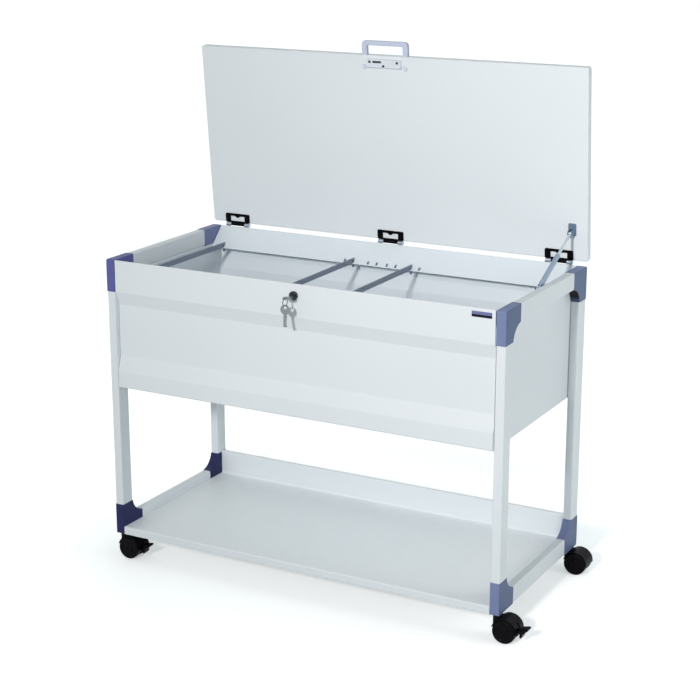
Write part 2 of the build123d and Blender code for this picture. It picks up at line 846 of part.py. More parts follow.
ear_offset = strut_eye_width / 2 + strut_eye_gap + ear_thickness / 2
with BuildPart() as strut_lid_bracket:
    with BuildSketch(lid_plane):
        with Locations((strut_x, strut_lid_along + lid_bracket_shift)):
            RectangleRounded(lid_bracket_width, lid_bracket_length, 2 * bracket_plate)
    extrude(amount=bracket_plate)
    with BuildSketch(lid_plane):
        with Locations((strut_x - ear_offset, strut_lid_along), (strut_x + ear_offset, strut_lid_along)):
            Rectangle(ear_thickness, ear_length)
    extrude(amount=strut_lid_off + ear_margin)
    for side in (-1, 1):
        with BuildSketch(Plane.YZ.offset(strut_x + side * (ear_offset + ear_thickness / 2))):
            with Locations((up_y, up_z)):
                Circle(rivet_radius)
        extrude(amount=side * rivet_height)
keep(strut_lid_bracket, "strut_lid_bracket")

# Lock: barrel through the front panel, nut behind it, turning plug with a hook cam for the keeper
with BuildPart() as lock_barrel:
    with BuildSketch(front_plane(panel_set_back)):
        with Locations((0, lock_z)):
            Circle(barrel_flange_radius)
    extrude(amount=barrel_flange_length)
    fillet(lock_barrel.faces().sort_by(Axis.Y)[0].edges(), sheet)
    with BuildSketch(front_plane(barrel_end)):
        with Locations((0, lock_z)):
            Circle(barrel_radius)
    extrude(amount=barrel_end - panel_set_back)
    with BuildSketch(front_plane(barrel_end)):
        with Locations((0, lock_z)):
            Circle(plug_radius + plug_clearance)
    extrude(amount=2 * barrel_end, mode=Mode.SUBTRACT)
keep(lock_barrel, "lock_barrel")

nut_face = panel_set_back + sheet
with BuildPart() as lock_nut:
    with BuildSketch(front_plane(nut_face + nut_height)):
        with Locations((0, lock_z)):
            RegularPolygon(nut_radius, 6)
            Circle(barrel_radius + plug_clearance, mode=Mode.SUBTRACT)
    extrude(amount=nut_height)
keep(lock_nut, "lock_nut")

cam_face = cam_depth - cam_thickness / 2
plug_front = panel_set_back - barrel_flange_length - plug_proud
with BuildPart() as lock_plug:
    with BuildSketch(front_plane(cam_face)):
        with Locations((0, lock_z)):
            Circle(plug_radius)
    extrude(amount=cam_face - plug_front)
    with BuildSketch(front_plane(cam_face + cam_thickness + stub_proud)):
        with Locations((0, lock_z)):
            Circle(stub_radius)
    extrude(amount=cam_thickness + stub_proud)
    with BuildSketch(front_plane(keyway_depth)):
        with Locations((0, lock_z)):
            Rectangle(key_blade_width + 2 * keyway_side_gap, key_thickness + 2 * keyway_face_gap)
    extrude(amount=2 * keyway_depth, mode=Mode.SUBTRACT)
keep(lock_plug, "lock_plug")

with BuildPart() as lock_cam:
    with BuildSketch(front_plane(cam_face + cam_thickness)):
        with BuildLine():
            outer = CenterArc((0, lock_z), hook_outer, hook_tip, hook_sweep)
            inner = CenterArc((0, lock_z), hook_inner, hook_tip, hook_sweep)
            Line(outer @ 0, inner @ 0)
            Line(outer @ 1, inner @ 1)
        make_face()
        with BuildLine():
            arm_angle = hook_tip + hook_sweep - hook_arm_sweep
            arm_outer = CenterArc((0, lock_z), hook_inner + sheet, arm_angle, hook_arm_sweep)
            Line((0, lock_z), arm_outer @ 0)
            Line((0, lock_z), arm_outer @ 1)
        make_face()
        with Locations((0, lock_z)):
            Circle(cam_hub)
            Circle(stub_radius + plug_clearance, mode=Mode.SUBTRACT)
    extrude(amount=cam_thickness)
keep(lock_cam, "lock_cam")


# Keys: a round bow with a hole, and a notched blade; drawn from the hole's centre towards the blade's tip
def key_piece(label, plane):
    with BuildPart() as piece:
        with BuildSketch(plane):
            with Locations((0, key_hole_offset)):
                Circle(key_bow_radius)
            with Locations((0, (key_blade_start + key_blade_end) / 2)):
                Rectangle(key_blade_width, key_blade_end - key_blade_start)
            Circle(key_hole_radius, mode=Mode.SUBTRACT)
            notch_out = key_blade_width / 2 + notch_margin
            for step in range(notch_count):
                notch_along = key_blade_end - notch_pitch * (step + 1)
                with BuildLine():
                    Polyline(
                        (notch_out, notch_along - notch_depth - notch_margin),
                        (key_blade_width / 2 - notch_depth, notch_along),
                        (notch_out, notch_along + notch_depth + notch_margin),
                        close=True,
                    )
                make_face(mode=Mode.SUBTRACT)
        extrude(amount=key_thickness)
    keep(piece, label)


hole_y = -half_depth - key_reach
ring_bridge = key_bow_radius - key_hole_offset - key_hole_radius
ring_y = hole_y - key_hole_radius - ring_bridge / 2
ring_rise = sqrt((ring_radius - ring_wire) ** 2 - (ring_bridge / 2) ** 2)
ring_z = lock_z + key_thickness / 2 + ring_gap - ring_rise
spare_z = ring_z - ring_radius - key_hole_radius + ring_wire + ring_gap
key_piece("key", Plane(origin=(0, hole_y, lock_z - key_thickness / 2), x_dir=(1, 0, 0), z_dir=(0, 0, 1)))
key_piece(
    "spare_key", Plane(origin=(0, ring_y - key_thickness / 2, spare_z), x_dir=(1, 0, 0), z_dir=(0, 1, 0))
)
print("ring", round(ring_y, 3), round(ring_z, 3), "lock", lock_z, "spare", round(spare_z, 3))

with BuildPart() as key_ring:
    with Locations((0, ring_y, ring_z)):
        Torus(ring_radius, ring_wire, rotation=(0, 90, 0))
keep(key_ring, "key_ring")

with BuildPart() as label_plate:
    with BuildSketch(front_plane(panel_set_back)):
        with Locations((bay_x - label_inset, top_z - label_drop)):
            RectangleRounded(label_width, label_height, label_thickness)
    extrude(amount=label_thickness)
keep(label_plate, "label_plate")

# Caster stems: a plug in the connector's socket, a collar below it, and a spindle in the hood
with BuildPart() as caster_stems:
    for spot_x, spot_y in caster_spots.values():
        for low, high, radius in (
            (hood_top - spindle_length, base_z, spindle_radius),
            (hood_top + collar_gap, base_z, boss_radius),
            (base_z, base_z + stem_length, stem_radius),
        ):
            with BuildSketch(Plane.XY.offset(low)):
                with Locations((spot_x, spot_y)):
                    Circle(radius)
            extrude(amount=high - low)
keep(caster_stems, "caster_stems")


# Twin-wheel casters: hood with a web between the wheels, axle, two wheels, and a brake lever on some
def caster(spot, x, y, braked):
    axle_x = x + caster_trail
    axle_z = wheel_radius
    middle = Plane.XZ.offset(-y)

    def around(angle, reach):
        return (axle_x + reach * cos(radians(angle)), axle_z + reach * sin(radians(angle)))

    open_below = [
        (axle_x, axle_z),
        around(hood_front, 2 * hood_outer),
        (axle_x - 2 * hood_outer, -hood_outer),
        (axle_x + 2 * hood_outer, -hood_outer),
        around(hood_rear, 2 * hood_outer),
    ]
    pivot = (axle_x + hood_outer - lever_pivot_inset, axle_z + lever_pivot_z)
    hood_half = wheel_outer - hood_side_inset
    axle_half = wheel_outer - axle_cover - axle_end_gap
    with BuildPart() as hood:
        for radius, half in ((0, hood_web / 2), (hood_inner, hood_half)):
            with BuildSketch(middle):
                with Locations((axle_x, axle_z)):
                    Circle(hood_outer)
                    if radius:
                        Circle(radius, mode=Mode.SUBTRACT)
                with BuildLine():
                    Polyline(*open_below, close=True)
                make_face(mode=Mode.SUBTRACT)
            extrude(amount=half, both=True)
        with BuildSketch(middle):
            with Locations((axle_x, axle_z)):
                Circle(wheel_radius - hood_disc_inset)
            with Locations((x + (column_back - column_front) / 2, (axle_z + hood_top) / 2)):
                Rectangle(column_front + column_back, hood_top - axle_z)
        extrude(amount=hood_web / 2, both=True)
        with BuildSketch(Plane.XY.offset(hood_top)):
            with Locations((x, y)):
                Circle(boss_radius)
        extrude(amount=-boss_height)
        with BuildSketch(Plane.XY.offset(hood_top)):
            with Locations((x, y)):
                Circle(spindle_radius + axle_clearance)
        extrude(amount=-spindle_length - collar_gap, mode=Mode.SUBTRACT)
        with BuildSketch(middle):
            with Locations((axle_x, axle_z)):
                Circle(axle_radius + axle_clearance)
        extrude(amount=hood_half, both=True, mode=Mode.SUBTRACT)
        if braked:
            with BuildSketch(middle):
                with Locations((axle_x + hood_outer, axle_z + lever_pivot_z)):
                    Rectangle(2 * (lever_pivot_inset + 2 * lever_boss_radius), hood_outer)
            extrude(amount=lever_arm / 2 + lever_gap, both=True, mode=Mode.SUBTRACT)
            with BuildSketch(middle):
                with Locations(pivot):
                    Circle(lever_pin_radius)
            extrude(amount=hood_web / 2, both=True)
    keep(hood, f"{spot}_caster_hood")

    with BuildPart() as axle:
        with BuildSketch(middle):
            with Locations((axle_x, axle_z)):
                Circle(axle_radius)
        extrude(amount=axle_half, both=True)
    keep(axle, f"{spot}_caster_axle")

    for wheel_name, side in (("front", -1), ("rear", 1)):

        def at(across, radius):
            return (y + side * across, axle_z + radius)

        bore = axle_radius + axle_clearance
        wheel_inner = hood_web / 2 + wheel_web_gap
        bore_end = axle_half + axle_end_gap
        dish = wheel_outer - wheel_dish
        rim = wheel_radius - wheel_rim
        shoulder = wheel_shoulder * (1 - cos(radians(45)))
        with BuildPart() as wheel:
            with BuildSketch(Plane.YZ.offset(axle_x)):
                with BuildLine():
                    Polyline(
                        at(bore_end, 0),
                        at(bore_end, bore),
                        at(wheel_inner, bore),
                        at(wheel_inner, wheel_radius - wheel_chamfer),
                        at(wheel_inner + wheel_chamfer, wheel_radius),
                        at(wheel_outer - wheel_shoulder, wheel_radius),
                    )
                    ThreePointArc(
                        at(wheel_outer - wheel_shoulder, wheel_radius),
                        at(wheel_outer - shoulder, wheel_radius - shoulder),
                        at(wheel_outer, wheel_radius - wheel_shoulder),
                    )
                    Polyline(
                        at(wheel_outer, wheel_radius - wheel_shoulder),
                        at(wheel_outer, rim),
                        at(dish, rim - wheel_dish_slope),
                        at(dish, wheel_hub + wheel_dish_slope),
                        at(wheel_outer, wheel_hub),
                        at(wheel_outer, 0),
                        at(bore_end, 0),
                    )
                make_face()
            revolve(axis=Axis((axle_x, 0, axle_z), (0, 1, 0)))
        keep(wheel, f"{spot}_caster_{wheel_name}_wheel")

    if braked:
        outline = [(axle_x + hood_outer + past, axle_z + rise) for past, rise in pedal_outline]
        arm_end = outline[0][0] + lever_arm_lap
        with BuildPart() as lever:
            with BuildSketch(middle):
                with BuildLine():
                    Polyline(*outline, close=True)
                make_face()
            extrude(amount=pedal_half, both=True)
            fillet(lever.edges(), pedal_edge)
            with BuildSketch(middle):
                with Locations(pivot):
                    Circle(lever_boss_radius)
                with Locations(((pivot[0] + arm_end) / 2, pivot[1])):
                    Rectangle(arm_end - pivot[0], lever_arm_height)
            extrude(amount=lever_arm / 2, both=True)
            with BuildSketch(middle):
                with Locations(pivot):
                    Circle(lever_pin_radius + pin_clearance)
            extrude(amount=lever_arm, both=True, mode=Mode.SUBTRACT)
        keep(lever, f"{spot}_brake_lever")


for spot, (spot_x, spot_y) in caster_spots.items():
    caster(spot, spot_x, spot_y, spot.startswith("front"))
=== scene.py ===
"""Suspension file trolley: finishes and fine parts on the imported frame, with a plain studio stage."""

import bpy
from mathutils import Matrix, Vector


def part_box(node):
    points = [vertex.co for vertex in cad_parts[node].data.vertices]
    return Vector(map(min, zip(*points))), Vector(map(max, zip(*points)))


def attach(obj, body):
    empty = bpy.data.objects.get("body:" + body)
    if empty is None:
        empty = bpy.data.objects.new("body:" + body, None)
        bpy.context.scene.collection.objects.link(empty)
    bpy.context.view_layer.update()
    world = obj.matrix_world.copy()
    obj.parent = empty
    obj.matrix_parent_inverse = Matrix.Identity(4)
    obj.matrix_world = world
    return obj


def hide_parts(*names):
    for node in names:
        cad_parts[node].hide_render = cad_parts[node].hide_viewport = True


bl_info = {
    "name": "File Trolley Finishes",
    "version": (1, 0, 0),
    "blender": (4, 5, 0),
    "location": "View3D > Sidebar > Trolley",
    "description": "Finishes, screws, pedal ribs and key ring of a suspension file trolley, and its stage",
    "category": "Object",
}

from math import atan2, cos, pi, radians, sin

import bmesh
import bpy
from bpy.props import FloatProperty, FloatVectorProperty, IntProperty, PointerProperty
from mathutils import Euler, Matrix, Vector

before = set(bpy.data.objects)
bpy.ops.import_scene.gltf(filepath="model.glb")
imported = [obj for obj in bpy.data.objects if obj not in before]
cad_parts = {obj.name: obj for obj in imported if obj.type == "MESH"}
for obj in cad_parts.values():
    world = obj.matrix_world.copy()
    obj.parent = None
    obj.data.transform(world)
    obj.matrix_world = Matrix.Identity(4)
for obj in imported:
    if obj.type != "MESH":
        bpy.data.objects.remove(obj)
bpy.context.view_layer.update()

WHITE = (1.0, 1.0, 1.0, 1.0)
COAT_DRIFT = (0.955, 1.015)
MOULDED_DRIFT = (0.90, 1.10)
METAL_DRIFT = (0.86, 1.12)
LABEL_DRIFT = (0.92, 1.08)
CORNER_SPOTS = ("front_left", "front_right", "rear_left", "rear_right")
FRONT_SPOTS = CORNER_SPOTS[:2]

# Places on the part, in metres, where the fine parts sit and a finish changes.
LID_LEAN = radians(5.3)
HINGE_AXIS = Vector((0.0, 0.2098, 0.6645))
HINGE_WIDTH = 0.060
LEAF_SCREW_ALONG = 0.0135
LEAF_FACE = 0.0021
PLATE_FACE_Y = 0.20695
PLATE_SCREW_RISE = 0.014
STRUT_FOOT_Y = 0.0278
STRUT_FOOT_Z = 0.6473
STRUT_EYE = 0.0045
STRUT_TUBE_END = 0.110115
SEAL_BORE = 0.00302
SEAL_RADIUS = 0.0049
SEAL_SUNK = 0.0004
PEDAL_START = Vector((0.0282, 0.0, 0.0075))
PEDAL_LENGTH = 0.0169
PEDAL_SLOPE = atan2(0.0041, 0.0164)
RING_MARGIN = 0.0007
PEG_REACH = 0.044
KEEPER_RIM = Vector((0.004, 0.0, 0.004))
LABEL_SPLIT = 0.45
# Axis and limits past which the left corner connectors take painted shade, a darker copy of their colour.
CORNER_SHADE_AXIS = (1.0, 1.0, 0.0)
TOP_LEFT_SHADE_LIMIT = -0.44
LOW_LEFT_SHADE_LIMIT = 0.0

# The stage: places of the lights, and where the sky and the floor change.
KEY_PLACE = (0.45, -4.1, 2.15)
KEY_TARGET = (0.6, 0.2, 1.0)
KEY_SIZE = 0.4
FILL_PLACE = (1.75, 0.10, 0.65)
FILL_TARGET = (0.45, 0.0, 0.52)
FILL_SIZE = 0.8
SKY_RISE = (0.45, 0.70)
SKY_TURN = (0.0, 0.7)
FLOOR_SIZE = 14.0
FLOOR_FADE = (0.47, 0.90)
FLOOR_GLOW = (0.97, 1.0, 1.0, 1.0)
FLOOR_BOUNCE = (0.54, 0.56, 0.57, 1.0)


def colour_value(name, description, default):
    """A colour that the panel shows."""
    return FloatVectorProperty(
        name=name, description=description, subtype="COLOR", size=3, min=0.0, max=1.0, default=default
    )


def length_value(name, description, default):
    """A length that the panel shows."""
    return FloatProperty(
        name=name, description=description, unit="LENGTH", precision=5, min=0.0, default=default
    )


def number_value(name, description, default):
    """A plain number that the panel shows."""
    return FloatProperty(name=name, description=description, default=default)


def power_value(name, description, default):
    """A lamp's power that the panel shows."""
    return FloatProperty(name=name, description=description, unit="POWER", default=default)


def angle_value(name, description, degrees):
    """An angle that the panel shows."""
    return FloatProperty(name=name, description=description, subtype="ANGLE", default=radians(degrees))


class TrolleyColours(bpy.types.PropertyGroup):
    """Base colours of the trolley's finishes."""

    # Painted light: the shelf's upward faces take this paler colour in place of the body coat.
    shelf: colour_value("Shelf top", "Paler, dusted top of the shelf tray", (0.880, 0.920, 0.935))
    body: colour_value("Body", "Powder coat of frame, front, shelf and lid", (0.738, 0.785, 0.812))
    # Painted light: a brighter, bluer copy of the body coat for the box's floor, rear and left side.
    inside: colour_value("Inside", "Coat of the box's floor, rear and left side", (0.732, 0.798, 0.842))
    corner: colour_value("Corners", "Moulded corner connectors", (0.187, 0.230, 0.396))
    # Painted shade: a darker copy of the corner colour on the upper front left connector.
    corner_top_left_shade: colour_value("Top left corner", "Upper front left connector", (0.115, 0.128, 0.345))
    # Painted shade: a darker copy of the corner colour on the lower left connectors.
    corner_low_left_shade: colour_value("Low left corners", "Lower connectors on the left", (0.025, 0.028, 0.098))
    # Painted shade: a near-black colour on the undersides of the upper connectors.
    corner_under_shade: colour_value("Undersides", "Undersides of the upper connectors", (0.012, 0.012, 0.020))
    # Painted shade: a darker copy of the corner colour on the right faces of the right-hand connectors.
    corner_right_shade: colour_value("Right faces", "Right faces of the right connectors", (0.108, 0.150, 0.264))
    handle: colour_value("Handle", "Moulded lid handle", (0.550, 0.590, 0.730))
    peg: colour_value("Pegs", "Paler pegs of the handle in the liner", (0.640, 0.680, 0.790))
    # Painted shade: a dark colour on the liner behind the keeper's slot, standing for the shaded hollow
    # there.
    slot: colour_value("Slot", "Bare steel behind the keeper's slot", (0.045, 0.062, 0.068))
    bar: colour_value("Bars", "Lacquer of the suspension bars", (0.200, 0.235, 0.310))
    steel: colour_value("Strut", "Drawn steel of the gas strut", (0.300, 0.390, 0.500))
    rod: colour_value("Rod", "Polished rod of the gas strut", (0.600, 0.660, 0.700))
    zinc: colour_value("Zinc", "Plated hinge bases, hinge pins and caster stems", (0.420, 0.480, 0.560))
    black: colour_value("Black", "Black mouldings of hinges and casters", (0.003, 0.003, 0.004))
    keeper: colour_value("Keeper", "Coated keeper plate on the lid", (0.690, 0.730, 0.780))
    screw: colour_value("Screws", "Dark screws of the keeper", (0.035, 0.045, 0.060))
    nickel: colour_value("Nickel", "Dark nickel of the lock and the key ring", (0.045, 0.052, 0.065))
    keys: colour_value("Keys", "Greyish nickel silver of the keys", (0.240, 0.270, 0.270))
    bracket: colour_value("Bracket", "Plated bracket of the strut on the lid", (0.200, 0.270, 0.370))
    label_top: colour_value("Label top", "Upper half of the bare label plate", (0.155, 0.175, 0.360))
    label_low: colour_value("Label foot", "Lower half of the bare label plate", (0.008, 0.008, 0.014))
    dust: colour_value("Dust", "Fine dust on tops and low down", (0.560, 0.560, 0.550))


class TrolleySizes(bpy.types.PropertyGroup):
    """Sizes of the fine parts and of the finishes' grain."""

    screw_head: length_value("Screw head", "Radius of the hinge screws' heads", 0.0030)
    screw_rise: length_value("Screw rise", "Height of the hinge screws' heads", 0.0011)
    screw_spread: length_value("Screw spread", "From the hinge's middle to a leaf screw", 0.0245)
    plate_spread: length_value("Plate spread", "From the hinge's middle to a plate screw", 0.0200)
    rib_count: IntProperty(name="Ribs", description="Grip ribs on each brake pedal", default=5, min=1, max=12)
    rib_radius: length_value("Rib radius", "Radius of a pedal rib", 0.0008)
    rib_length: length_value("Rib length", "Length of a pedal rib across the pedal", 0.0140)
    ring_wire: length_value("Ring wire", "Wire radius of the split key ring", 0.00040)
    gland_rise: length_value("Gland", "How far the strut's seal stands out of its tube", 0.0008)
    edge: length_value("Edge", "Radius that softens the edges of sheet and tube", 0.0009)
    moulded_edge: length_value("Moulded edge", "Radius that softens the edges of mouldings", 0.0014)
    coat_cells: number_value("Coat grain", "Grain cells of the coat per metre", 520.0)
    moulded_cells: number_value("Moulding grain", "Grain cells of the mouldings per metre", 1100.0)


class TrolleyStage(bpy.types.PropertyGroup):
    """Camera, lights and floor."""

    camera_place: FloatVectorProperty(
        name="Camera",
        description="Place of the camera",
        subtype="TRANSLATION",
        default=(1.6206, -2.9690, 1.4422),
    )
    camera_yaw: angle_value("Yaw", "Turn of the camera to the left of +Y", 28.432)
    camera_pitch: angle_value("Pitch", "Tilt of the camera above level", -15.963)
    camera_lens: FloatProperty(name="Lens", description="Focal length", unit="CAMERA", default=86.96)
    key_power: power_value("Key", "Power of the front light", 22.0)
    key_beam: angle_value("Key beam", "Width of the front light's beam", 75.0)
    key_tint: colour_value("Key tint", "Colour of the front light", (1.0, 0.943, 0.940))
    sky_tint: colour_value("Sky tint", "Colour of the light from all round", (0.890, 0.990, 1.0))
    fill_power: power_value("Fill", "Power of the right-hand light", 6.3)
    sky: number_value("Sky", "Strength of the light from all round, at the horizon", 0.83)
    sky_top: number_value("Sky top", "Strength of the light from overhead", 0.16)
    sky_behind: number_value("Sky behind", "How much stronger it is from behind", 1.4)
    sky_right: number_value("Sky right", "Its share from the right-hand side", 0.62)
    floor_near: number_value("Floor near", "White added to the seen floor close to the trolley", 0.40)
    floor_far: number_value("Floor far", "White added to the seen floor farther away", 0.72)


class Graph:
    """Adds nodes to one tree and joins them."""

    def __init__(self, tree):
        self.tree = tree

    def add(self, kind, sockets=None, **settings):
        """A node of that kind; a socket given another socket is linked to it, and else takes the value."""
        node = self.tree.nodes.new(kind)
        for name, value in settings.items():
            setattr(node, name, value)
        for key, value in (sockets or {}).items():
            if isinstance(value, bpy.types.NodeSocket):
                self.tree.links.new(value, node.inputs[key])
            else:
                node.inputs[key].default_value = value
        return node

    def maths(self, operation, one, two=None):
        """One or two values worked on."""
        sockets = {0: one} if two is None else {0: one, 1: two}
        return self.add("ShaderNodeMath", sockets, operation=operation).outputs[0]

    def spread(self, value, low, high, start=0.0, end=1.0):
        """A value between start and end moved to between low and high."""
        sockets = {"Value": value, "From Min": start, "From Max": end, "To Min": low, "To Max": high}
        return self.add("ShaderNodeMapRange", sockets).outputs["Result"]

    def blend(self, share, one, two):
        """A colour between one and two."""
        node = self.add("ShaderNodeMix", data_type="RGBA")
        sockets = {"Factor_Float": share, "A_Color": one, "B_Color": two}
        for socket in node.inputs:
            value = sockets.get(socket.identifier)
            if isinstance(value, bpy.types.NodeSocket):
                self.tree.links.new(value, socket)
            elif value is not None:
                socket.default_value = value
        return node.outputs[2]

    def noise(self, vector, scale, detail=2.0, rough=0.5):
        """A soft random value from 0 to 1."""
        sockets = {"Vector": vector, "Scale": scale, "Detail": detail, "Roughness": rough}
        return self.add("ShaderNodeTexNoise", sockets).outputs["Fac"]

    def place(self):
        """The place on the object."""
        return self.add("ShaderNodeTexCoord").outputs["Object"]

    def axes(self, vector):
        """The three parts of a vector."""
        return self.add("ShaderNodeSeparateXYZ", {0: vector}).outputs

    def bump(self, strength, distance, height, normal):
        """A normal with fine relief on it."""
        sockets = {"Strength": strength, "Distance": distance, "Height": height, "Normal": normal}
        return self.add("ShaderNodeBump", sockets).outputs[0]

    def feed(self, node, **sockets):
        """Links or sets a node's own sockets, named with _ for a space."""
        for key, value in sockets.items():
            socket = node.inputs[key.replace("_", " ")]
            if isinstance(value, bpy.types.NodeSocket):
                self.tree.links.new(value, socket)
            else:
                socket.default_value = value


def shade(colour, share):
    """The colour made lighter or darker, as a node takes it."""
    return (*[min(1.0, part * share) for part in colour], 1.0)


def shader_group(name, inputs, outputs):
    """An empty shader node group with named sockets, its graph, and its two end nodes."""
    tree = bpy.data.node_groups.new(name, "ShaderNodeTree")
    for socket, kind, default in inputs:
        made = tree.interface.new_socket(socket, in_out="INPUT", socket_type=kind)
        made.default_value = default
    for socket, kind in outputs:
        tree.interface.new_socket(socket, in_out="OUTPUT", socket_type=kind)
    graph = Graph(tree)
    return tree, graph, graph.add("NodeGroupInput"), graph.add("NodeGroupOutput")


def soft_edge_group():
    """Rounds the look of sharp edges, and marks where they are."""
    tree, graph, given, result = shader_group(
        "Soft edge",
        [("Radius", "NodeSocketFloat", 0.001)],
        [("Normal", "NodeSocketVector"), ("Edge", "NodeSocketFloat")],
    )
    rounded = graph.add("ShaderNodeBevel", {"Radius": given.outputs["Radius"]}, samples=6)
    surface = graph.add("ShaderNodeNewGeometry")
    turn = graph.add(
        "ShaderNodeVectorMath", {0: rounded.outputs[0], 1: surface.outputs["Normal"]}, operation="DOT_PRODUCT"
    )
    edge = graph.spread(turn.outputs["Value"], 0.0, 1.0, 0.995, 0.86)
    graph.feed(result, Normal=rounded.outputs[0], Edge=edge)
    return tree


def coat_group():
    """Powder coat: fine grain over a broad peel, slow drifts of tone and gloss."""
    tree, graph, given, result = shader_group(
        "Powder coat",
        [("Cells", "NodeSocketFloat", 500.0)],
        [("Height", "NodeSocketFloat"), ("Tone", "NodeSocketFloat"), ("Gloss", "NodeSocketFloat")],
    )
    place = graph.place()
    grain = graph.noise(place, given.outputs["Cells"], 3.0, 0.55)
    peel = graph.noise(place, 150.0, 1.0)
    height = graph.maths("ADD", graph.maths("MULTIPLY", grain, 0.45), graph.maths("MULTIPLY", peel, 0.55))
    broad = graph.noise(place, 4.5, 3.0, 0.5)
    speck = graph.spread(graph.noise(place, 900.0, 2.0, 0.6), 0.0, 1.0, 0.3, 0.7)
    tone = graph.maths("ADD", graph.maths("MULTIPLY", broad, 0.75), graph.maths("MULTIPLY", speck, 0.25))
    graph.feed(result, Height=height, Tone=tone, Gloss=graph.noise(place, 16.0, 4.0, 0.55))
    return tree


def moulding_group():
    """Moulded plastic: a fine eroded grain, faint flow marks and uneven gloss."""
    tree, graph, given, result = shader_group(
        "Moulded grain",
        [("Cells", "NodeSocketFloat", 1000.0)],
        [("Height", "NodeSocketFloat"), ("Tone", "NodeSocketFloat"), ("Gloss", "NodeSocketFloat")],
    )
    place = graph.place()
    count = given.outputs["Cells"]
    cells = graph.add("ShaderNodeTexVoronoi", {"Vector": place, "Scale": count}, feature="F1")
    pits = graph.spread(cells.outputs["Distance"], 0.0, 1.0, 0.1, 0.8)
    fine = graph.noise(place, graph.maths("MULTIPLY", count, 0.45), 2.0, 0.6)
    height = graph.maths("ADD", graph.maths("MULTIPLY", pits, 0.5), graph.maths("MULTIPLY", fine, 0.5))
    flow = graph.add("ShaderNodeMapping", {"Vector": place, "Scale": (30.0, 30.0, 9.0)})
    tone = graph.noise(flow.outputs[0], 1.0, 4.0, 0.6)
    graph.feed(result, Height=height, Tone=tone, Gloss=graph.noise(place, 60.0, 3.0, 0.55))
    return tree


def drawn_group():
    """Metal worked along one way: fine lines and a soft streaking."""
    tree, graph, given, result = shader_group(
        "Drawn metal",
        [("Vector", "NodeSocketVector", (0.0, 0.0, 0.0))],
        [("Height", "NodeSocketFloat"), ("Streak", "NodeSocketFloat")],
    )
    place = given.outputs["Vector"]
    lines = graph.noise(place, 1.0, 4.0, 0.65)
    graph.feed(result, Height=lines, Streak=graph.noise(place, 0.22, 3.0, 0.55))
    return tree


def dust_group():
    """A patchy film on what faces up and low down, and masks of what faces up and down, which the finishes
    use for painted light on tops and painted shade underneath.
    """
    tree, graph, given, result = shader_group(
        "Dust film and facing masks",
        [("Reach", "NodeSocketFloat", 0.05)],
        [("Film", "NodeSocketFloat"), ("Facing", "NodeSocketFloat"), ("Below", "NodeSocketFloat")],
    )
    up = graph.axes(graph.add("ShaderNodeNewGeometry").outputs["Normal"])["Z"]
    place = graph.place()
    height = graph.axes(place)["Z"]
    facing = graph.spread(up, 0.0, 1.0, 0.4, 0.95)
    below = graph.spread(up, 1.0, 0.0, -0.5, -0.05)
    low = graph.spread(graph.maths("DIVIDE", height, given.outputs["Reach"]), 1.0, 0.0)
    patches = graph.spread(graph.noise(place, 45.0, 4.0, 0.62), 0.0, 1.0, 0.35, 0.75)
    settled = graph.maths("MAXIMUM", graph.maths("MULTIPLY", facing, 0.6), low)
    film = graph.maths("MULTIPLY", settled, patches)
    graph.feed(result, Film=film, Facing=facing, Below=below)
    return tree


def shared_group(name):
    """One of the shared effects, built the first time that it is asked for."""
    makers = {
        "Soft edge": soft_edge_group,
        "Powder coat": coat_group,
        "Moulded grain": moulding_group,
        "Drawn metal": drawn_group,
        "Dust film and facing masks": dust_group,
    }
    return bpy.data.node_groups.get(name) or makers[name]()


def new_finish(name):
    """A material with a Principled shader, and its graph."""
    finish = bpy.data.materials.new(name)
    finish.use_nodes = True
    graph = Graph(finish.node_tree)
    return finish, graph, finish.node_tree.nodes["Principled BSDF"]


def place_group(graph, name, sockets):
    """A shared effect in a finish: its outputs."""
    return graph.add("ShaderNodeGroup", sockets, node_tree=shared_group(name)).outputs


def toned(graph, share, colour, drift):
    """The colour, drifting between two shares of itself."""
    return graph.blend(share, shade(colour, drift[0]), shade(colour, drift[1]))


def coated(name, colour, sizes, dust_colour, gloss=(0.36, 0.52), top=None, bare=None):
    """Powder-coated steel: drifting tone, thin pale edges of worn coat and painted highlight, and a trace of
    dust.

    top is a paler colour for what faces up, painted light; bare is a dark colour, painted shade, with the
    corners of its patch.
    """
    finish, graph, shader = new_finish(name)
    coat = place_group(graph, "Powder coat", {"Cells": sizes.coat_cells})
    edge = place_group(graph, "Soft edge", {"Radius": sizes.edge})
    dust = place_group(graph, "Dust film and facing masks", {"Reach": 0.03})
    tone = toned(graph, coat["Tone"], colour, COAT_DRIFT)
    # Painted light: what faces up takes the paler top colour.
    if top:
        tone = graph.blend(dust["Facing"], tone, toned(graph, coat["Tone"], top, COAT_DRIFT))
    # Pale edges: partly worn coat, partly painted highlight.
    rubbed_and_highlit = graph.blend(graph.maths("MULTIPLY", edge["Edge"], 0.30), tone, shade(colour, 1.10))
    dusty = graph.blend(graph.maths("MULTIPLY", dust["Film"], 0.10), rubbed_and_highlit, shade(dust_colour, 1.0))
    # Painted shade: a dark patch on the liner behind the keeper's slot.
    if bare:
        steel, low, high = bare
        centre = {0: graph.place(), 1: (low + high) / 2}
        spot = graph.axes(graph.add("ShaderNodeVectorMath", centre, operation="SUBTRACT").outputs[0])
        across = graph.maths("LESS_THAN", graph.maths("ABSOLUTE", spot["X"]), (high.x - low.x) / 2)
        level = graph.maths("LESS_THAN", graph.maths("ABSOLUTE", spot["Z"]), (high.z - low.z) / 2)
        dusty = graph.blend(graph.maths("MULTIPLY", across, level), dusty, shade(steel, 1.0))
    bump = graph.bump(0.16, 0.0004, coat["Height"], edge["Normal"])
    rough = graph.spread(coat["Gloss"], gloss[0], gloss[1], 0.25, 0.75)
    graph.feed(shader, Base_Color=dusty, Roughness=rough, Normal=bump, Specular_IOR_Level=0.42)
    return finish


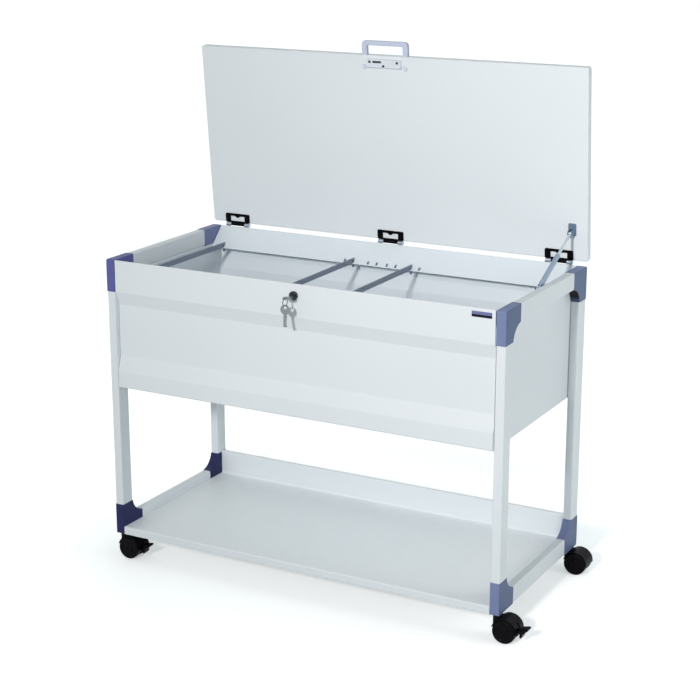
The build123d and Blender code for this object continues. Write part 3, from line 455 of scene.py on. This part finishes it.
def moulded(
    name,
    colour,
    sizes,
    dust_colour,
    pale,
    sheen,
    gloss=(0.34, 0.50),
    film=0.05,
    reach=0.04,
    other=None,
    under=None,
    right=None,
):
    """Moulded plastic with an eroded grain, pale polished edges that are partly wear and partly painted
    highlight, and faint flow marks.

    other is a second colour with the axis and the limit below which it lies: the handle's paler pegs, and
    painted shade on the left corners;
    under is painted shade for what faces down; right is painted shade for what faces right on the right half.
    """
    finish, graph, shader = new_finish(name)
    grain = place_group(graph, "Moulded grain", {"Cells": sizes.moulded_cells})
    edge = place_group(graph, "Soft edge", {"Radius": sizes.moulded_edge})
    dust = place_group(graph, "Dust film and facing masks", {"Reach": reach})
    tone = toned(graph, grain["Tone"], colour, MOULDED_DRIFT)
    worn_and_highlit = shade(colour, pale)
    # Painted shade: faces turned to the right on the right-hand half take the darker right colour.
    if right:
        outward = graph.axes(graph.add("ShaderNodeNewGeometry").outputs["Normal"])["X"]
        turned = graph.spread(outward, 0.0, 1.0, 0.6, 0.9)
        half = graph.spread(graph.axes(graph.place())["X"], 0.0, 1.0, -0.01, 0.01)
        beside = graph.maths("MULTIPLY", turned, half)
        tone = graph.blend(beside, tone, toned(graph, grain["Tone"], right, MOULDED_DRIFT))
        worn_and_highlit = graph.blend(beside, worn_and_highlit, shade(right, pale))
    # A second colour past a limit along an axis: the handle's paler pegs, and painted shade on the left
    # corner connectors.
    if other:
        second, axis, limit = other
        along = graph.add("ShaderNodeVectorMath", {0: graph.place(), 1: axis}, operation="DOT_PRODUCT")
        side = graph.spread(along.outputs["Value"], 0.0, 1.0, limit - 0.004, limit + 0.004)
        tone = graph.blend(side, toned(graph, grain["Tone"], second, MOULDED_DRIFT), tone)
        worn_and_highlit = graph.blend(side, shade(second, pale), worn_and_highlit)
    # Painted shade: what faces down takes the dark underside colour.
    if under:
        tone = graph.blend(dust["Below"], tone, shade(under, 1.0))
        worn_and_highlit = graph.blend(dust["Below"], worn_and_highlit, shade(under, pale))
    # Pale edges: partly wear, partly painted highlight.
    rubbed_and_highlit = graph.blend(graph.maths("MULTIPLY", edge["Edge"], 0.45), tone, worn_and_highlit)
    dusty = graph.blend(graph.maths("MULTIPLY", dust["Film"], film), rubbed_and_highlit, shade(dust_colour, 1.0))
    bump = graph.bump(0.22, 0.0003, grain["Height"], edge["Normal"])
    level = graph.maths("SUBTRACT", grain["Gloss"], graph.maths("MULTIPLY", edge["Edge"], 0.25))
    rough = graph.spread(level, gloss[0], gloss[1], 0.2, 0.8)
    graph.feed(shader, Base_Color=dusty, Roughness=rough, Normal=bump, Specular_IOR_Level=sheen)
    return finish


def metal(name, colour, sizes, lines, turn=(0.0, 0.0, 0.0), gloss=(0.22, 0.40), metallic=1.0, depth=0.08):
    """Worked metal: lines along one way, streaks of tone and gloss, bright edges that are partly wear and
    partly painted highlight.
    """
    finish, graph, shader = new_finish(name)
    place = graph.place()
    laid = graph.add("ShaderNodeMapping", {"Vector": place, "Rotation": turn, "Scale": lines})
    drawn = place_group(graph, "Drawn metal", {"Vector": laid.outputs[0]})
    edge = place_group(graph, "Soft edge", {"Radius": sizes.edge * 0.5})
    tone = toned(graph, drawn["Streak"], colour, METAL_DRIFT)
    # Bright edges: partly wear, partly painted highlight.
    bright = graph.blend(graph.maths("MULTIPLY", edge["Edge"], 0.35), tone, shade(colour, 1.30))
    bump = graph.bump(depth, 0.0002, drawn["Height"], edge["Normal"])
    rough = graph.spread(drawn["Streak"], gloss[0], gloss[1], 0.3, 0.7)
    graph.feed(shader, Base_Color=bright, Roughness=rough, Normal=bump, Metallic=metallic)
    return finish


def label_finish(name, top, low, level, sizes):
    """Bare label plate, pale blue above and black below, with a satin film."""
    finish, graph, shader = new_finish(name)
    place = graph.place()
    height = graph.axes(place)["Z"]
    upper = graph.spread(height, 0.0, 1.0, level - 0.0002, level + 0.0002)
    grain = place_group(graph, "Moulded grain", {"Cells": sizes.moulded_cells})
    edge = place_group(graph, "Soft edge", {"Radius": sizes.edge * 0.5})
    above = toned(graph, grain["Tone"], top, LABEL_DRIFT)
    two = graph.blend(upper, shade(low, 1.0), above)
    # Lighter edges: partly wear, partly painted highlight.
    rubbed_and_highlit = graph.blend(graph.maths("MULTIPLY", edge["Edge"], 0.4), two, shade(top, 1.2))
    bump = graph.bump(0.1, 0.0002, grain["Height"], edge["Normal"])
    rough = graph.spread(grain["Gloss"], 0.26, 0.42, 0.2, 0.8)
    graph.feed(shader, Base_Color=rubbed_and_highlit, Roughness=rough, Normal=bump, Specular_IOR_Level=0.08)
    return finish


def dress(nodes, finish):
    """Gives CAD nodes a finish."""
    for name in nodes:
        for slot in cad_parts[name].material_slots:
            slot.material = finish


def geometry_tree(name, inputs):
    """An empty geometry tree with named inputs, its graph, and its two end nodes."""
    tree = bpy.data.node_groups.new(name, "GeometryNodeTree")
    for socket, kind, default in inputs:
        made = tree.interface.new_socket(socket, in_out="INPUT", socket_type=kind)
        if default is not None:
            made.default_value = default
    tree.interface.new_socket("Geometry", in_out="OUTPUT", socket_type="NodeSocketGeometry")
    graph = Graph(tree)
    return tree, graph, graph.add("NodeGroupInput"), graph.add("NodeGroupOutput")


def finish_tree(graph, given, result, geometry):
    """The end of every tree: the geometry is placed, made real and given its material."""
    placed = graph.add(
        "GeometryNodeTransform",
        {"Geometry": geometry, "Translation": given.outputs["Place"], "Rotation": given.outputs["Turn"]},
    )
    real = graph.add("GeometryNodeRealizeInstances", {0: placed.outputs[0]})
    done = graph.add(
        "GeometryNodeSetMaterial", {"Geometry": real.outputs[0], "Material": given.outputs["Finish"]}
    )
    graph.tree.links.new(done.outputs[0], result.inputs[0])


def link_object(name, data):
    """A new object in the scene."""
    made = bpy.data.objects.new(name, data)
    bpy.context.scene.collection.objects.link(made)
    return made


def grown(name, tree, values, body):
    """Runs a geometry tree, keeps its result as a plain mesh, and lets it ride on a body."""
    carrier = link_object(name + ".tree", bpy.data.meshes.new(name + ".tree"))
    modifier = carrier.modifiers.new("Tree", "NODES")
    modifier.node_group = tree
    for item in tree.interface.items_tree:
        if item.in_out == "INPUT" and item.name in values:
            modifier[item.identifier] = values[item.name]
    bpy.context.view_layer.update()
    evaluated = carrier.evaluated_get(bpy.context.evaluated_depsgraph_get())
    mesh = bpy.data.meshes.new_from_object(evaluated)
    mesh.name = name
    bpy.data.objects.remove(carrier)
    piece = link_object(name, mesh)
    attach(piece, body)
    return piece


def around(radius, height, step, sides):
    """A point on a circle about z."""
    angle = 2 * pi * step / sides
    return radius * cos(angle), radius * sin(angle), height


def screw_head(radius, rise):
    """A domed screw head with a cross recess, standing on z = 0."""
    mesh = bmesh.new()
    profile = ((1.0, 0.0), (0.99, 0.35), (0.84, 0.75), (0.52, 0.97), (0.34, 1.0))
    sides = 24
    rings = [
        [mesh.verts.new(around(radius * share, rise * height, k, sides)) for k in range(sides)]
        for share, height in profile
    ]
    arms = [0.324 if k % 6 in (0, 1, 5) else 0.108 for k in range(sides)]
    cross = [mesh.verts.new(around(radius * arm, rise * 0.35, k, sides)) for k, arm in enumerate(arms)]
    rings.append(cross)
    for lower, upper in zip(rings, rings[1:]):
        for k in range(sides):
            after = (k + 1) % sides
            mesh.faces.new((lower[k], lower[after], upper[after], upper[k]))
    mesh.faces.new(cross)
    mesh.faces.new(list(reversed(rings[0])))
    data = bpy.data.meshes.new("screw_head")
    mesh.to_mesh(data)
    mesh.free()
    return data


def screw_tree():
    """Puts the given head on each of three hinges, twice, on a plane that faces the given way."""
    tree, graph, given, result = geometry_tree(
        "Hinge screws",
        [
            ("Head", "NodeSocketObject", None),
            ("Hinge spacing", "NodeSocketFloat", 0.387),
            ("Screw spread", "NodeSocketFloat", 0.02),
            ("Place", "NodeSocketVector", (0.0, 0.0, 0.0)),
            ("Turn", "NodeSocketVector", (0.0, 0.0, 0.0)),
            ("Finish", "NodeSocketMaterial", None),
        ],
    )
    spacing = graph.add("ShaderNodeCombineXYZ", {"X": given.outputs["Hinge spacing"]})
    start = graph.add("ShaderNodeVectorMath", {0: spacing.outputs[0], "Scale": -1.0}, operation="SCALE")
    hinges = graph.add(
        "GeometryNodeMeshLine",
        {"Count": 3, "Start Location": start.outputs[0], "Offset": spacing.outputs[0]},
        mode="OFFSET",
    )
    spread = graph.add("ShaderNodeCombineXYZ", {"X": given.outputs["Screw spread"]})
    back = graph.add("ShaderNodeVectorMath", {0: spread.outputs[0], "Scale": -1.0}, operation="SCALE")
    step = graph.add("ShaderNodeVectorMath", {0: spread.outputs[0], "Scale": 2.0}, operation="SCALE")
    pair = graph.add(
        "GeometryNodeMeshLine",
        {"Count": 2, "Start Location": back.outputs[0], "Offset": step.outputs[0]},
        mode="OFFSET",
    )
    head = graph.add("GeometryNodeObjectInfo", {"Object": given.outputs["Head"]})
    screws = graph.add(
        "GeometryNodeInstanceOnPoints", {"Points": pair.outputs[0], "Instance": head.outputs["Geometry"]}
    )
    sets = graph.add(
        "GeometryNodeInstanceOnPoints", {"Points": hinges.outputs[0], "Instance": screws.outputs[0]}
    )
    finish_tree(graph, given, result, sets.outputs[0])
    return tree


def rib_tree():
    """A row of rounded ribs across a sloping pedal."""
    tree, graph, given, result = geometry_tree(
        "Pedal ribs",
        [
            ("Count", "NodeSocketInt", 5),
            ("Pitch", "NodeSocketFloat", 0.003),
            ("Radius", "NodeSocketFloat", 0.0008),
            ("Length", "NodeSocketFloat", 0.014),
            ("Place", "NodeSocketVector", (0.0, 0.0, 0.0)),
            ("Turn", "NodeSocketVector", (0.0, 0.0, 0.0)),
            ("Finish", "NodeSocketMaterial", None),
        ],
    )
    step = graph.add("ShaderNodeCombineXYZ", {"X": given.outputs["Pitch"]})
    row = graph.add(
        "GeometryNodeMeshLine", {"Count": given.outputs["Count"], "Offset": step.outputs[0]}, mode="OFFSET"
    )
    half = graph.maths("MULTIPLY", given.outputs["Length"], 0.5)
    near = graph.add("ShaderNodeCombineXYZ", {"Y": graph.maths("MULTIPLY", half, -1.0)})
    far = graph.add("ShaderNodeCombineXYZ", {"Y": half})
    spine = graph.add("GeometryNodeCurvePrimitiveLine", {"Start": near.outputs[0], "End": far.outputs[0]})
    outline = graph.add(
        "GeometryNodeCurvePrimitiveCircle",
        {"Resolution": 14, "Radius": given.outputs["Radius"]},
        mode="RADIUS",
    )
    rib = graph.add(
        "GeometryNodeCurveToMesh",
        {"Curve": spine.outputs[0], "Profile Curve": outline.outputs[0], "Fill Caps": True},
    )
    ribs = graph.add("GeometryNodeInstanceOnPoints", {"Points": row.outputs[0], "Instance": rib.outputs[0]})
    finish_tree(graph, given, result, ribs.outputs[0])
    return tree


def ring_tree():
    """A split ring: two close turns of wire."""
    tree, graph, given, result = geometry_tree(
        "Split ring",
        [
            ("Radius", "NodeSocketFloat", 0.008),
            ("Wire", "NodeSocketFloat", 0.0004),
            ("Place", "NodeSocketVector", (0.0, 0.0, 0.0)),
            ("Turn", "NodeSocketVector", (0.0, 0.0, 0.0)),
            ("Finish", "NodeSocketMaterial", None),
        ],
    )
    rise = graph.maths("MULTIPLY", given.outputs["Wire"], 4.2)
    turns = graph.add(
        "GeometryNodeCurveSpiral",
        {
            "Resolution": 64,
            "Rotations": 1.92,
            "Start Radius": given.outputs["Radius"],
            "End Radius": given.outputs["Radius"],
            "Height": rise,
        },
    )
    outline = graph.add(
        "GeometryNodeCurvePrimitiveCircle",
        {"Resolution": 12, "Radius": given.outputs["Wire"]},
        mode="RADIUS",
    )
    wire = graph.add(
        "GeometryNodeCurveToMesh",
        {"Curve": turns.outputs[0], "Profile Curve": outline.outputs[0], "Fill Caps": True},
    )
    down = graph.add("ShaderNodeCombineXYZ", {"Z": graph.maths("MULTIPLY", rise, -0.5)})
    centred = graph.add(
        "GeometryNodeTransform", {"Geometry": wire.outputs[0], "Translation": down.outputs[0]}
    )
    finish_tree(graph, given, result, centred.outputs[0])
    return tree


def smooth(piece):
    """Soft shading, but for the sharp edges."""
    piece.data.shade_smooth()
    piece.data.set_sharp_from_angle(angle=radians(40))


def spun(name, profile, sides):
    """A closed ring: the (radius, height) profile turned about z."""
    mesh = bmesh.new()
    rings = [
        [mesh.verts.new(around(radius, height, k, sides)) for radius, height in profile]
        for k in range(sides)
    ]
    count = len(profile)
    for k in range(sides):
        here, there = rings[k], rings[(k + 1) % sides]
        for j in range(count):
            after = (j + 1) % count
            mesh.faces.new((here[j], there[j], there[after], here[after]))
    bmesh.ops.recalc_face_normals(mesh, faces=mesh.faces)
    data = bpy.data.meshes.new(name)
    mesh.to_mesh(data)
    mesh.free()
    piece = link_object(name, data)
    smooth(piece)
    return piece


def settings(context):
    """The scene's colours and sizes."""
    scene = context.scene
    return scene.trolley_colours, scene.trolley_sizes


class TrolleyStep(bpy.types.Operator):
    """Base of the trolley's steps."""

    bl_options = {"REGISTER", "UNDO"}


class TROLLEY_OT_body(TrolleyStep):
    """Coat the frame, the box, the shelf and the lid"""

    bl_idname = "trolley.body"
    bl_label = "Coated body"

    def execute(self, context):
        colours, sizes = settings(context)
        tubes = [f"{spot}_post" for spot in CORNER_SPOTS]
        tubes += [f"{side}_{level}_rail" for side in ("left", "right") for level in ("top", "bottom")]
        sheets = ["front_panel", "right_side_panel", "lid_pan"]
        inner = ["rear_panel", "left_side_panel", "box_floor"]
        # The liner takes painted shade in a patch behind the keeper's slot, inside the plate's rim.
        low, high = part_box("keeper_plate")
        bare = (colours.slot, low + KEEPER_RIM, high - KEEPER_RIM)
        for nodes, name, colour, more in (
            (tubes, "Tube coat", colours.body, {"gloss": (0.34, 0.46)}),
            (sheets, "Sheet coat", colours.body, {}),
            # Painted shade: a dark patch behind the keeper's slot.
            (["lid_liner"], "Liner coat", colours.body, {"bare": bare}),
            # Painted light: the inner panels take a brighter, bluer copy of the body coat.
            (inner, "Inner coat", colours.inside, {}),
            # Painted light: the shelf tray's top takes a paler colour.
            (["shelf_tray"], "Shelf coat", colours.body, {"gloss": (0.38, 0.56), "top": colours.shelf}),
        ):
            dress(nodes, coated(name, colour, sizes, colours.dust, **more))
        return {"FINISHED"}


class TROLLEY_OT_corners(TrolleyStep):
    """Finish the moulded corner connectors"""

    bl_idname = "trolley.corners"
    bl_label = "Corner connectors"

    def execute(self, context):
        colours, sizes = settings(context)
        # Each level's left connectors take painted shade past their limit; the upper connectors also take
        # painted shade underneath, and the right-hand ones on their right faces.
        for level, left, limit, under in (
            ("top", colours.corner_top_left_shade, TOP_LEFT_SHADE_LIMIT, colours.corner_under_shade),
            ("bottom", colours.corner_low_left_shade, LOW_LEFT_SHADE_LIMIT, None),
        ):
            finish = moulded(
                f"Slate blue {level}",
                colours.corner,
                sizes,
                colours.dust,
                pale=1.2,
                sheen=0.10,
                other=(left, CORNER_SHADE_AXIS, limit),
                under=under,
                right=colours.corner_right_shade,
            )
            dress([f"{level}_corner_connectors"], finish)
        return {"FINISHED"}


class TROLLEY_OT_bars(TrolleyStep):
    """Lacquer the suspension bars"""

    bl_idname = "trolley.bars"
    bl_label = "Suspension bars"

    def execute(self, context):
        colours, sizes = settings(context)
        bars = [f"{side}_{place}_bar" for side in ("left", "right") for place in ("end", "middle")]
        lines = (900.0, 60.0, 900.0)
        dress(bars, metal("Bar lacquer", colours.bar, sizes, lines, gloss=(0.30, 0.45), metallic=0.35))
        return {"FINISHED"}


class TROLLEY_OT_handle(TrolleyStep):
    """Finish the lid's handle, keeper plate and its screws"""

    bl_idname = "trolley.handle"
    bl_label = "Handle and keeper"

    def execute(self, context):
        colours, sizes = settings(context)
        pegs = (colours.peg, (0.0, 0.0, 1.0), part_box("lid_handle")[1].z - PEG_REACH)
        handle = moulded(
            "Lavender moulding", colours.handle, sizes, colours.dust, pale=1.15, sheen=0.2, other=pegs
        )
        dress(["lid_handle"], handle)
        keeper = coated("Keeper coat", colours.keeper, sizes, colours.dust, gloss=(0.30, 0.42))
        dress(["keeper_plate"], keeper)
        screws = metal("Dark screws", colours.screw, sizes, (700.0, 700.0, 700.0), metallic=0.8)
        dress(["keeper_screws"], screws)
        return {"FINISHED"}


class TROLLEY_OT_hinges(TrolleyStep):
    """Finish the hinges and add the screws of leaves and plates"""

    bl_idname = "trolley.hinges"
    bl_label = "Hinges"

    def execute(self, context):
        colours, sizes = settings(context)
        look = {"pale": 1.5, "sheen": 0.05, "gloss": (0.26, 0.42), "film": 0.004}
        black = moulded("Black hinge moulding", colours.black, sizes, colours.dust, **look)
        zinc = metal("Zinc plate", colours.zinc, sizes, (160.0, 160.0, 900.0), gloss=(0.28, 0.46))
        dress(["hinge_leaves"], black)
        dress(["hinge_bases", "hinge_pins"], zinc)
        head = link_object("screw_head", screw_head(sizes.screw_head, sizes.screw_rise))
        tree = screw_tree()
        low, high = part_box("hinge_bases")
        spacing = (high.x - low.x - HINGE_WIDTH) / 2
        inward = Vector((0.0, -cos(LID_LEAN), -sin(LID_LEAN)))
        along = Vector((0.0, -sin(LID_LEAN), cos(LID_LEAN)))
        shared = {"Head": head, "Hinge spacing": spacing}
        on_leaf = {
            "Screw spread": sizes.screw_spread,
            "Place": HINGE_AXIS + along * LEAF_SCREW_ALONG + inward * LEAF_FACE,
            "Turn": Vector((pi / 2 + LID_LEAN, 0.0, 0.0)),
            "Finish": black,
        }
        smooth(grown("hinge_leaf_screws", tree, shared | on_leaf, "lid"))
        on_plate = {
            "Screw spread": sizes.plate_spread,
            "Place": Vector((0.0, PLATE_FACE_Y, low.z + PLATE_SCREW_RISE)),
            "Turn": Vector((-pi / 2, 0.0, 0.0)),
            "Finish": zinc,
        }
        smooth(grown("hinge_plate_screws", tree, shared | on_plate, "frame"))
        bpy.data.objects.remove(head)
        return {"FINISHED"}


class TROLLEY_OT_strut(TrolleyStep):
    """Finish the gas strut and its brackets, and add its seal"""

    bl_idname = "trolley.strut"
    bl_label = "Gas strut"

    def execute(self, context):
        colours, sizes = settings(context)
        low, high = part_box("strut_cylinder")
        foot = Vector(((low.x + high.x) / 2, STRUT_FOOT_Y, STRUT_FOOT_Z))
        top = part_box("strut_rod")[1]
        tilt = atan2(top.z - STRUT_EYE - foot.z, top.y - STRUT_EYE - foot.y)
        lie = (-tilt, 0.0, 0.0)
        tube = metal("Strut tube", colours.steel, sizes, (900.0, 40.0, 900.0), lie, gloss=(0.28, 0.42))
        lines = (1200.0, 90.0, 1200.0)
        rod = metal("Strut rod", colours.rod, sizes, lines, lie, gloss=(0.10, 0.20), depth=0.04)
        lines = (160.0, 900.0, 160.0)
        bracket = metal("Bracket plate", colours.bracket, sizes, lines, gloss=(0.30, 0.46), metallic=0.7)
        black = bpy.data.materials["Black hinge moulding"]
        dress(["strut_cylinder"], tube)
        dress(["strut_rod"], rod)
        dress(["strut_lid_bracket"], bracket)
        dress(["strut_rail_bracket"], black)
        rise = sizes.gland_rise
        profile = [(SEAL_BORE, -SEAL_SUNK), (SEAL_RADIUS, -SEAL_SUNK), (SEAL_RADIUS, 0.0002)]
        profile += [(0.0046, 0.0005), (0.0038, rise), (SEAL_BORE, rise)]
        seal = spun("strut_seal", [(radius, STRUT_TUBE_END + level) for radius, level in profile], 40)
        seal.data.transform(Matrix.Translation(foot) @ Euler((tilt - pi / 2, 0.0, 0.0)).to_matrix().to_4x4())
        seal.data.materials.append(black)
        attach(seal, "strut_cylinder")
        return {"FINISHED"}


class TROLLEY_OT_lock(TrolleyStep):
    """Finish lock and keys, and wind the split key ring"""

    bl_idname = "trolley.lock"
    bl_label = "Lock and keys"

    def execute(self, context):
        colours, sizes = settings(context)
        nickel = metal("Nickel", colours.nickel, sizes, (240.0, 240.0, 240.0), gloss=(0.16, 0.34))
        keys = metal("Key nickel", colours.keys, sizes, (200.0, 900.0, 900.0), gloss=(0.20, 0.38))
        dress(["lock_barrel", "lock_nut", "lock_plug", "lock_cam"], nickel)
        dress(["key", "spare_key"], keys)
        low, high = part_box("key_ring")
        values = {
            "Radius": (high.z - low.z) / 2 - RING_MARGIN,
            "Wire": sizes.ring_wire,
            "Place": (low + high) / 2,
            "Turn": Vector((0.0, pi / 2, 0.0)),
            "Finish": nickel,
        }
        ring = grown("split_key_ring", ring_tree(), values, "key_ring")
        smooth(ring)
        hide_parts("key_ring")
        return {"FINISHED"}


class TROLLEY_OT_label(TrolleyStep):
    """Finish the bare label plate"""

    bl_idname = "trolley.label"
    bl_label = "Label plate"

    def execute(self, context):
        colours, sizes = settings(context)
        low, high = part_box("label_plate")
        level = low.z + LABEL_SPLIT * (high.z - low.z)
        finish = label_finish("Two-tone label", colours.label_top, colours.label_low, level, sizes)
        dress(["label_plate"], finish)
        return {"FINISHED"}


class TROLLEY_OT_casters(TrolleyStep):
    """Finish the casters and rib the brake pedals"""

    bl_idname = "trolley.casters"
    bl_label = "Casters"

    def execute(self, context):
        colours, sizes = settings(context)
        look = {"pale": 2.0, "sheen": 0.05, "gloss": (0.24, 0.40), "film": 0.005, "reach": 0.03}
        hood = moulded("Caster hood", colours.black, sizes, colours.dust, **look)
        look = {"pale": 1.8, "sheen": 0.05, "gloss": (0.30, 0.48), "film": 0.008, "reach": 0.012}
        tyre = moulded("Caster wheel", colours.black, sizes, colours.dust, **look)
        axle = metal("Axle steel", colours.steel, sizes, (600.0, 60.0, 600.0))
        dress(["caster_stems"], bpy.data.materials["Zinc plate"])
        for spot in CORNER_SPOTS:
            dress([f"{spot}_caster_hood"], hood)
            dress([f"{spot}_caster_axle"], axle)
            dress([f"{spot}_caster_front_wheel", f"{spot}_caster_rear_wheel"], tyre)
        tree = rib_tree()
        for spot in FRONT_SPOTS:
            lever = f"{spot}_brake_lever"
            dress([lever], hood)
            low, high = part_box(f"{spot}_caster_axle")
            start = (low + high) / 2 + PEDAL_START
            way = Vector((cos(PEDAL_SLOPE), 0.0, sin(PEDAL_SLOPE)))
            pitch = PEDAL_LENGTH / (sizes.rib_count + 1)
            values = {
                "Count": sizes.rib_count,
                "Pitch": pitch,
                "Radius": sizes.rib_radius,
                "Length": sizes.rib_length,
                "Place": start + way * pitch,
                "Turn": Vector((0.0, -PEDAL_SLOPE, 0.0)),
                "Finish": hood,
            }
            smooth(grown(f"{spot}_pedal_ribs", tree, values, lever))
        return {"FINISHED"}


class TROLLEY_OT_stage(TrolleyStep):
    """Set the camera, the lights and the floor"""

    bl_idname = "trolley.stage"
    bl_label = "Stage"

    def execute(self, context):
        stage = context.scene.trolley_stage
        context.scene.view_settings.view_transform = "Standard"
        self.camera(context, stage)
        key = self.light("Front light", KEY_PLACE, KEY_TARGET, KEY_SIZE, stage.key_power)
        key.spread = stage.key_beam
        key.color = stage.key_tint
        self.light("Right light", FILL_PLACE, FILL_TARGET, FILL_SIZE, stage.fill_power)
        self.sky(context, stage)
        self.floor(stage)
        return {"FINISHED"}

    def camera(self, context, stage):
        """The camera at the photograph's angle."""
        data = bpy.data.cameras.new("Camera")
        data.lens = stage.camera_lens
        data.sensor_width = 36.0
        data.clip_end = 60.0
        camera = link_object("Camera", data)
        camera.location = stage.camera_place
        camera.rotation_euler = (pi / 2 + stage.camera_pitch, 0.0, stage.camera_yaw)
        context.scene.camera = camera

    def light(self, name, place, target, size, power):
        """A round lamp that the camera doesn't see; its data is returned."""
        data = bpy.data.lights.new(name, "AREA")
        data.shape = "DISK"
        data.size = size
        data.energy = power
        lamp = link_object(name, data)
        lamp.location = place
        lamp.rotation_euler = (Vector(target) - Vector(place)).to_track_quat("-Z", "Y").to_euler()
        lamp.visible_camera = False
        return data

    def where_seen(self, graph, plain, shown):
        """The second shader for what the camera, a reflection or a clear piece shows, and else the first."""
        path = graph.add("ShaderNodeLightPath").outputs
        seen = graph.maths("MAXIMUM", path["Is Camera Ray"], path["Is Glossy Ray"])
        seen = graph.maths("MAXIMUM", seen, path["Is Transmission Ray"])
        return graph.add("ShaderNodeMixShader", {0: seen, 1: plain.outputs[0], 2: shown.outputs[0]})

    def sky(self, context, stage):
        """White where it is seen; its light is stronger low down and behind, and weaker on the right."""
        world = bpy.data.worlds.new("Studio")
        world.use_nodes = True
        context.scene.world = world
        graph = Graph(world.node_tree)
        world.node_tree.nodes.clear()
        axes = graph.axes(graph.add("ShaderNodeTexCoord").outputs["Generated"])
        rise = graph.spread(axes["Z"], stage.sky, stage.sky_top, *SKY_RISE)
        behind = graph.spread(axes["Y"], 1.0, stage.sky_behind, *SKY_TURN)
        right = graph.spread(axes["X"], 1.0, stage.sky_right, *SKY_TURN)
        level = graph.maths("MULTIPLY", rise, graph.maths("MULTIPLY", behind, right))
        even = graph.add("ShaderNodeBackground", {"Color": shade(stage.sky_tint, 1.0), "Strength": level})
        white = graph.add("ShaderNodeBackground", {"Color": WHITE, "Strength": 1.0})
        mixed = self.where_seen(graph, even, white)
        graph.add("ShaderNodeOutputWorld", {"Surface": mixed.outputs[0]})

    def floor(self, stage):
        """A pale floor that keeps the shadow and fades to white away from the trolley."""
        mesh = bmesh.new()
        bmesh.ops.create_grid(mesh, x_segments=2, y_segments=2, size=FLOOR_SIZE)
        data = bpy.data.meshes.new("floor")
        mesh.to_mesh(data)
        mesh.free()
        floor = link_object("floor", data)
        finish = bpy.data.materials.new("Pale floor")
        finish.use_nodes = True
        finish.node_tree.nodes.clear()
        graph = Graph(finish.node_tree)
        matt = graph.add("ShaderNodeBsdfDiffuse", {"Color": WHITE})
        distance = graph.add("ShaderNodeVectorMath", {0: graph.place()}, operation="LENGTH").outputs["Value"]
        lift = graph.spread(distance, stage.floor_near, stage.floor_far, *FLOOR_FADE)
        glow = graph.add("ShaderNodeEmission", {"Color": FLOOR_GLOW, "Strength": lift})
        white = graph.add("ShaderNodeAddShader", {0: matt.outputs[0], 1: glow.outputs[0]})
        pale = graph.add("ShaderNodeBsdfDiffuse", {"Color": FLOOR_BOUNCE})
        mixed = self.where_seen(graph, pale, white)
        graph.add("ShaderNodeOutputMaterial", {"Surface": mixed.outputs[0]})
        data.materials.append(finish)


class TROLLEY_PT_panel(bpy.types.Panel):
    """Lists the trolley's steps and values"""

    bl_idname = "TROLLEY_PT_panel"
    bl_label = "File trolley"
    bl_space_type = "VIEW_3D"
    bl_region_type = "UI"
    bl_category = "Trolley"

    def draw(self, context):
        for step in STEPS:
            self.layout.operator(step.bl_idname)
        scene = context.scene
        for group in (scene.trolley_colours, scene.trolley_sizes, scene.trolley_stage):
            box = self.layout.box()
            for name in group.__annotations__:
                box.prop(group, name)


STEPS = (
    TROLLEY_OT_stage,
    TROLLEY_OT_body,
    TROLLEY_OT_corners,
    TROLLEY_OT_bars,
    TROLLEY_OT_handle,
    TROLLEY_OT_hinges,
    TROLLEY_OT_strut,
    TROLLEY_OT_lock,
    TROLLEY_OT_label,
    TROLLEY_OT_casters,
)
GROUPS = (TrolleyColours, TrolleySizes, TrolleyStage)


def register():
    for made in (*GROUPS, *STEPS, TROLLEY_PT_panel):
        bpy.utils.register_class(made)
    bpy.types.Scene.trolley_colours = PointerProperty(type=TrolleyColours)
    bpy.types.Scene.trolley_sizes = PointerProperty(type=TrolleySizes)
    bpy.types.Scene.trolley_stage = PointerProperty(type=TrolleyStage)


def unregister():
    del bpy.types.Scene.trolley_stage
    del bpy.types.Scene.trolley_sizes
    del bpy.types.Scene.trolley_colours
    for made in reversed((*GROUPS, *STEPS, TROLLEY_PT_panel)):
        bpy.utils.unregister_class(made)


def main():
    register()
    for step in STEPS:
        group, name = step.bl_idname.split(".")
        getattr(getattr(bpy.ops, group), name)()


if __name__ == "__main__":
    main()
